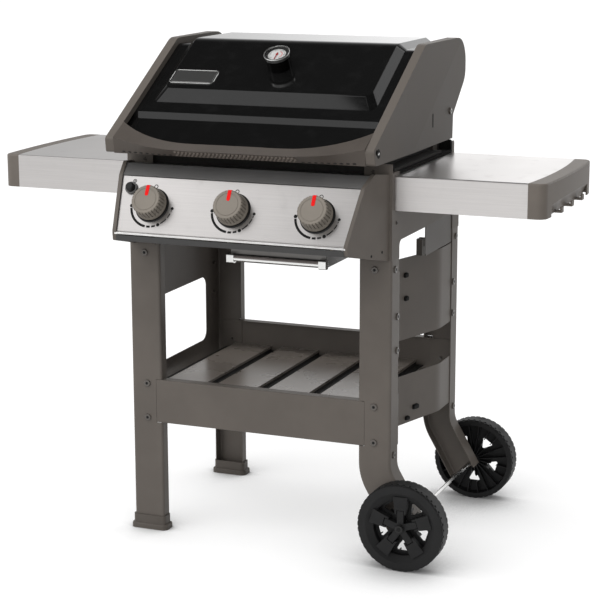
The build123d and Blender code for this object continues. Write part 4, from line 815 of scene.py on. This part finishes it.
class GRILL_OT_handle_grip(bpy.types.Operator):
    """Raise the grip pattern on the undercut face of the lid handle"""
    bl_idname = "grill.handle_grip"
    bl_label = "Handle grip"

    def execute(self, context):
        colours, sizes = context.scene.grill_colours, context.scene.grill_sizes
        # rows of domes over the middle of the handle, every other row half a step along
        rows, row_step = 3, 0.24
        count = 2 * int(sizes.grip_half / sizes.grip_pitch) + 1
        places = [self.face(sizes.grip_pitch * (i - count // 2 + 0.5 * (row % 2)), row_step * (row + 1))
                  for row in range(rows) for i in range(count)]
        grip = domes(places, half_width=0.0042, half_height=0.0036, rise=0.0034, sink=0.0012)
        # the domes are the handle's moulding painted lighter, a painted highlight where they catch the light
        pale = moulded_plastic("grip_moulding", tint(colours.handle, 1.7))
        fitted("handle_grip", grip, "lid", pale, smooth=True)
        # one row of dashes on either side of them, near the lower edge, painted dark as shadow between teeth
        dash_row = 0.86
        edge = np.arange(sizes.grip_half + sizes.dash_pitch, sizes.dash_half, sizes.dash_pitch)
        places = [self.face(x, dash_row) for x in (*-edge, *edge)]
        dashes = domes(places, half_width=0.0046, half_height=0.0020, rise=0.0012, sink=0.0012)
        dark = moulded_plastic("dash_moulding", tint(colours.handle, 0.2))
        fitted("handle_dashes", dashes, "lid", dark, smooth=True)
        return {"FINISHED"}

    def face(self, x, share):
        """Plane on the undercut face at x, a share of the way down from the crease to the lower edge. The
        crease is level in the middle and rises along an arc of a circle towards each lid end."""
        front, heel_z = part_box("lid_handle")[0][1:]
        level_half, arc_run, arc_rise = 0.110, 0.187, 0.068
        radius = (arc_run * arc_run + arc_rise * arc_rise) / (2 * arc_rise)
        past = max(abs(x) - level_half, 0.0)
        climb = (radius - math.sqrt(radius * radius - past * past)) / arc_rise
        crease_height, crease_back, crease_lift, heel_back = 0.0154, 0.019, 0.021, 0.024
        crease = np.array([front + crease_back * climb, heel_z + crease_height + crease_lift * climb])
        down = np.array([front + heel_back, heel_z]) - crease
        return Place((x, *(crease + share * down)), (1, 0, 0), (0, down[1], -down[0]))


class GRILL_OT_panel_fold_highlight(bpy.types.Operator):
    """Set a bright half round along the control panel's lower edge, a painted highlight of its fold"""
    bl_idname = "grill.panel_bead"
    bl_label = "Panel highlight"

    def execute(self, context):
        # a bright half round, a painted highlight, carried along X a little above the panel's lower edge
        lift, inset, half_width, rise, steps = 0.0044, 0.0126, 0.0032, 0.0022, 9
        low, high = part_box("control_panel")
        place = fascia_place("middle")
        place = place.moved(-place.origin[0], (low[2] + lift - place.origin[2]) / place.up[2])
        turn = np.linspace(0, np.pi, steps)[:, None]
        along = np.array([[low[0] + inset, high[0] - inset]])
        points = place.at(along, half_width * np.cos(turn), rise * np.sin(turn)).reshape(-1, 3)
        form = points, grid_faces(steps, 2, close_rows=True)
        steel = bright_metal("fold_highlight_steel", (0.85, 0.84, 0.83), rough=0.32)
        fitted("panel_bead", form, "cart", steel, smooth=True)
        return {"FINISHED"}


class GRILL_OT_rear_shields(bpy.types.Operator):
    """Set the dark shields behind the cook box"""
    bl_idname = "grill.rear_shields"
    bl_label = "Rear shields"

    def execute(self, context):
        inward, below_rim, thickness = 0.058, 0.019, 0.002
        outline = rounded_rectangle(width=0.115, height=0.04, corner=0.004, steps=3)
        side, rear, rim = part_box("cook_box")[1]
        parts = [stacked(Place((sign * (side - inward), rear, rim - below_rim), (1, 0, 0), (0, 1, 0)),
                         [outline, outline], [0.0, thickness]) for _, sign in both_sides]
        iron = cast_metal("shield_iron", (0.014, 0.013, 0.012), rough=0.6, metal=0.2)
        fitted("rear_shields", joined(parts), "cart", iron)
        return {"FINISHED"}


class GRILL_OT_guard_pads(bpy.types.Operator):
    """Set the rubber pads on the cylinder guards"""
    bl_idname = "grill.guard_pads"
    bl_label = "Guard pads"

    def execute(self, context):
        # guard, place along Y and Z, width and height
        pads = [("upper", 0.031, 0.613, 0.014, 0.012), ("upper", 0.033, 0.558, 0.014, 0.012),
                ("lower", 0.041, 0.270, 0.016, 0.010), ("lower", 0.0726, 0.291, 0.022, 0.012)]
        rise, sink, corner = 0.006, 0.0006, 0.004
        parts = []
        for guard, y, z, width, height in pads:
            place = landing(f"cylinder_guard_{guard}", (well_out, y, z), (-1, 0, 0))
            parts.append(pillow(place, width, height, rise, sink, corner))
        fitted("guard_pads", joined(parts), "cart", rubber_and_painted_shade())
        return {"FINISHED"}


class GRILL_OT_screws(bpy.types.Operator):
    """Set the side frames' screws, painted shade in the bolt sockets and the plugs in the panel ends"""
    bl_idname = "grill.screws"
    bl_label = "Screws and plugs"

    def execute(self, context):
        # one screw on each frame's outer side and one on its front
        side_y, side_z, front_x, front_z = -0.158, 0.768, 0.2755, 0.8825
        spots = [landing(f"side_frame_{side}", (sign * well_out, side_y, side_z), (-sign, 0, 0))
                 for side, sign in both_sides]
        spots += [landing(f"side_frame_{side}", (sign * front_x, -well_out, front_z), (0, 1, 0))
                  for side, sign in both_sides]
        radii = [0.0042, 0.0042, 0.0036, 0.0022, 0.0016, 0.0]
        heights = [-0.0004, 0.0008, 0.0018, 0.0023, 0.0012, 0.0012]
        parts = [revolved(place, radii, heights, steps=16) for place in spots]
        dark = powder_coat("screw_coat", tint(context.scene.grill_colours.coat, 0.5), rough=0.3)
        fitted("frame_screws", joined(parts), "cart", dark, smooth=True)
        # painted shade in six-sided sockets of the bolt heads, first on the front and rear of the legs
        low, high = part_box("frame_bolts")
        leg_x, leg_levels = 0.281, (0.666, 0.3557, 0.2733)
        heads = [Place((x, y, z), (1, 0, 0), (0, way, 0)) for y, way in ((low[1], -1), (high[1], 1))
                 for x in (-leg_x, leg_x) for z in leg_levels]
        # then on their outer sides, by place along Y and Z, with one more low on each right leg
        front_y, rear_y, low_z = -0.1646, 0.2754, 0.243
        sides = [(-0.1486, 0.557), (-0.1486, 0.480), (front_y, 0.666),
                 (0.2594, 0.557), (0.2594, 0.480), (rear_y, 0.666)]
        heads += [Place((x, y, z), (0, 1, 0), (x, 0, 0)) for x in (low[0], high[0]) for y, z in sides]
        heads += [Place((high[0], y, low_z), (0, 1, 0), (1, 0, 0)) for y in (front_y, rear_y)]
        radii, heights = [0.0036, 0.0036, 0.0], [-0.001, 0.00015, 0.00015]
        parts = [revolved(place, radii, heights, steps=6) for place in heads]
        fitted("bolt_sockets", joined(parts), "cart", rubber_and_painted_shade())
        # two plugs low on each panel end, by place along Y and Z
        plugs = [(-0.2557, 0.7095), (-0.2136, 0.712)]
        spots = [landing(f"panel_cap_{side}", (sign * well_out, y, z), (-sign, 0, 0))
                 for side, sign in both_sides for y, z in plugs]
        radii, heights = [0.0032, 0.0032, 0.0024, 0.0], [-0.0004, 0.0003, 0.0005, 0.0005]
        parts = [revolved(place, radii, heights, steps=14) for place in spots]
        fitted("cap_plugs", joined(parts), "cart", rubber_and_painted_shade())
        return {"FINISHED"}


class GRILL_OT_lid_end_fittings(bpy.types.Operator):
    """Set dark strips of painted shade in the lid ends' slots, and near each front corner a screw on a dark
    disc of painted shade in its recess
    """
    bl_idname = "grill.lid_end_fittings"
    bl_label = "Lid end fittings"

    def execute(self, context):
        slot_y, slot_z, slot_depth, slot_shade_rise = 0.0729, 0.966, 0.0014, 0.0018
        screw_y, screw_z, recess_radius = -0.2715, 0.9335, 0.0098
        side_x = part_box("lid_end_right")[1][0]
        # the slots and the recesses round the screws are painted dark, as shade
        strip = rounded_rectangle(width=0.0062, height=0.0305, corner=0.0012, steps=3)
        parts = [stacked(Place((sign * (side_x - slot_depth), slot_y, slot_z), (0, 1, 0), (sign, 0, 0)),
                         [strip, strip], [0.0, slot_shade_rise]) for _, sign in both_sides]
        corners = [landing(f"lid_end_{side}", (sign * well_out, screw_y, screw_z), (-sign, 0, 0))
                   for side, sign in both_sides]
        radii, heights = [recess_radius, recess_radius, 0.0], [-0.0004, 0.0004, 0.0004]
        parts += [revolved(place, radii, heights, steps=24) for place in corners]
        fitted("lid_end_painted_shade", joined(parts), "lid", rubber_and_painted_shade())
        radii = [0.0030, 0.0030, 0.0022, 0.0012, 0.0012, 0.0]
        heights = [0.0, 0.0012, 0.0018, 0.0019, 0.0010, 0.0010]
        parts = [revolved(place, radii, heights, steps=16) for place in corners]
        fitted("end_screws", joined(parts), "lid", screw_steel(), smooth=True)
        return {"FINISHED"}


class GRILL_OT_hinge_rings(bpy.types.Operator):
    """Set the bright rings on the lid's hinge pins"""
    bl_idname = "grill.hinge_rings"
    bl_label = "Hinge rings"

    def execute(self, context):
        pin_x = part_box("hinge_brackets")[1][0]
        _, hinge_y, hinge_z = joint_named("lid_swing")["pos_m"]
        pins = [Place((sign * pin_x, hinge_y, hinge_z), (0, 1, 0), (sign, 0, 0)) for _, sign in both_sides]
        radii = [0.0052, 0.0052, 0.0044, 0.0034, 0.0034]
        heights = [-0.001, 0.0006, 0.0010, 0.0006, -0.001]
        parts = [revolved(place, radii, heights, steps=20) for place in pins]
        fitted("hinge_rings", joined(parts), "cart", screw_steel(), smooth=True)
        return {"FINISHED"}


class GRILL_OT_stage(bpy.types.Operator):
    """Set the floor, the soft lights and the camera"""
    bl_idname = "grill.stage"
    bl_label = "Stage"

    def execute(self, context):
        scene = context.scene
        self.floor()
        self.sky(scene)
        self.lamp("key_box", stand=(-1.25, -1.25, 2.6), aim=(0.0, -0.1, 0.9), size=1.8, watts=12.4)
        self.lamp("side_box", stand=(1.27, 0.93, 2.75), aim=(0.25, 0.0, 1.04), size=0.9, watts=3.4)
        self.camera(scene)
        scene.view_settings.view_transform = "Standard"
        return {"FINISHED"}

    def floor(self):
        """Pale floor: white to the camera apart from the grill's shadow, and greyer to the sides in
        reflections."""
        reach = 30.0
        points = np.array([[-reach, -reach, 0], [reach, -reach, 0], [reach, reach, 0], [-reach, reach, 0]])
        floor = put_mesh("floor", points, [[0, 1, 2, 3]], smooth=False)
        f = Finish("floor_white", Roughness=0.9, Specular_IOR_Level=0.0, Emission_Strength=1.0)
        black = (0, 0, 0, 1)
        cloud = f.noise(0.8, 2.0)
        camera, mirrored = f.seen()
        across = f.height(Place((0, 0, 0), (0, 1, 0), (1, 0, 0)))
        dim = mirrored * (across.ramp(0.8, 3.0, 0.0, 0.35) + across.ramp(-3.0, -1.0, 0.2, 0.0))
        body = f.blend(cloud, (0.49, 0.49, 0.49, 1), (0.51, 0.51, 0.51, 1))
        f.set("Base Color", f.blend(dim, body, black))
        # the glow fades close to the grill, so that its shadow stays
        open_sky = f.node("ShaderNodeAmbientOcclusion", {"samples": 8}, {"Distance": 0.27}, "AO")
        glow = f.blend(open_sky.ramp(0.5, 1.0), (0.03, 0.03, 0.03, 1), (0.58, 0.58, 0.58, 1))
        f.set("Emission Color", f.blend(camera + mirrored - dim, black, glow))
        floor.data.materials.append(f.material)

    def sky(self, scene):
        """World: white to the camera, a pale wall under a dark ceiling in reflections, and for light a dome
        that is brighter on one side."""
        world = bpy.data.worlds.new("studio")
        scene.world = world
        world.use_nodes = True
        n = Nodes(world.node_tree)
        way = n.node("ShaderNodeTexCoord", {}, {}, "Generated")
        side, depth, height = [n.node("ShaderNodeSeparateXYZ", {}, {0: way}, axis) for axis in "XYZ"]
        near, far = side.ramp(-0.55, -0.2, 0.72, 0.80), side.ramp(-0.5, -0.2, 0.69, 1.75)
        wall = near + (far - near) * depth.ramp(-0.1, 0.3)
        wall = wall * height.ramp(0.12, 0.85, 1.0, 0.04) * side.ramp(0.1, 0.6, 1.0, 0.5)
        bright_side = (-0.52, -0.57, 0.63)
        toward = n.vectors("DOT_PRODUCT", way, bright_side, "Value")
        dome = toward.ramp(-0.75, 1.0, 0.08, 1.55)
        camera, mirrored = n.seen()
        light = dome + (wall - dome) * mirrored
        light = light + (1.0 - light) * camera
        n.tree.links.new(light.socket, n.tree.nodes["Background"].inputs["Color"])

    def lamp(self, name, stand, aim, size, watts):
        """Square soft box that stands at one point and looks at another."""
        light = bpy.data.lights.new(name, "AREA")
        light.size, light.energy = size, watts
        holder = bpy.data.objects.new(name, light)
        holder.location = stand
        holder.rotation_euler = (Vector(aim) - Vector(stand)).to_track_quat("-Z", "Y").to_euler()
        bpy.context.scene.collection.objects.link(holder)

    def camera(self, scene):
        """Camera from its place, bearing, dip and roll."""
        view = scene.grill_view
        flat = Vector((-math.sin(view.bearing), math.cos(view.bearing), 0))
        right = Vector((math.cos(view.bearing), math.sin(view.bearing), 0))
        up = Vector((0, 0, math.cos(view.dip))) + flat * math.sin(view.dip)
        ahead = flat * math.cos(view.dip) - Vector((0, 0, math.sin(view.dip)))
        across = right * math.cos(view.roll) + up * math.sin(view.roll)
        top = up * math.cos(view.roll) - right * math.sin(view.roll)
        lens = bpy.data.cameras.new("camera")
        lens.lens, lens.sensor_width = view.lens, 36.0
        lens.clip_end = 100.0
        eye = bpy.data.objects.new("camera", lens)
        turn = Matrix((across, top, -ahead)).transposed().to_4x4()
        eye.matrix_world = Matrix.Translation(view.stand) @ turn
        scene.collection.objects.link(eye)
        scene.camera = eye


class GRILL_PT_panel(bpy.types.Panel):
    """Operators of the grill in the sidebar"""
    bl_idname = "GRILL_PT_panel"
    bl_label = "Grill"
    bl_space_type = "VIEW_3D"
    bl_region_type = "UI"
    bl_category = "Grill"

    def draw(self, context):
        for operator in operators:
            self.layout.operator(operator.bl_idname)


operators = (GRILL_OT_finishes, GRILL_OT_panel_marks, GRILL_OT_knob_marks, GRILL_OT_lid_plate,
             GRILL_OT_gauge_marks, GRILL_OT_handle_grip, GRILL_OT_panel_fold_highlight, GRILL_OT_rear_shields,
             GRILL_OT_guard_pads, GRILL_OT_screws, GRILL_OT_lid_end_fittings, GRILL_OT_hinge_rings,
             GRILL_OT_stage)
groups = {"grill_colours": GrillColours, "grill_sizes": GrillSizes, "grill_view": GrillView}


def register():
    for group in groups.values():
        bpy.utils.register_class(group)
    for name, group in groups.items():
        setattr(bpy.types.Scene, name, PointerProperty(type=group))
    for operator in (*operators, GRILL_PT_panel):
        bpy.utils.register_class(operator)


def unregister():
    for operator in (GRILL_PT_panel, *reversed(operators)):
        bpy.utils.unregister_class(operator)
    for name, group in groups.items():
        delattr(bpy.types.Scene, name)
        bpy.utils.unregister_class(group)


def main():
    register()
    bpy.ops.grill.finishes()
    bpy.ops.grill.panel_marks()
    bpy.ops.grill.knob_marks()
    bpy.ops.grill.lid_plate()
    bpy.ops.grill.gauge_marks()
    bpy.ops.grill.handle_grip()
    bpy.ops.grill.panel_bead()
    bpy.ops.grill.rear_shields()
    bpy.ops.grill.guard_pads()
    bpy.ops.grill.screws()
    bpy.ops.grill.lid_end_fittings()
    bpy.ops.grill.hinge_rings()
    bpy.ops.grill.stage()


if __name__ == "__main__":
    main()
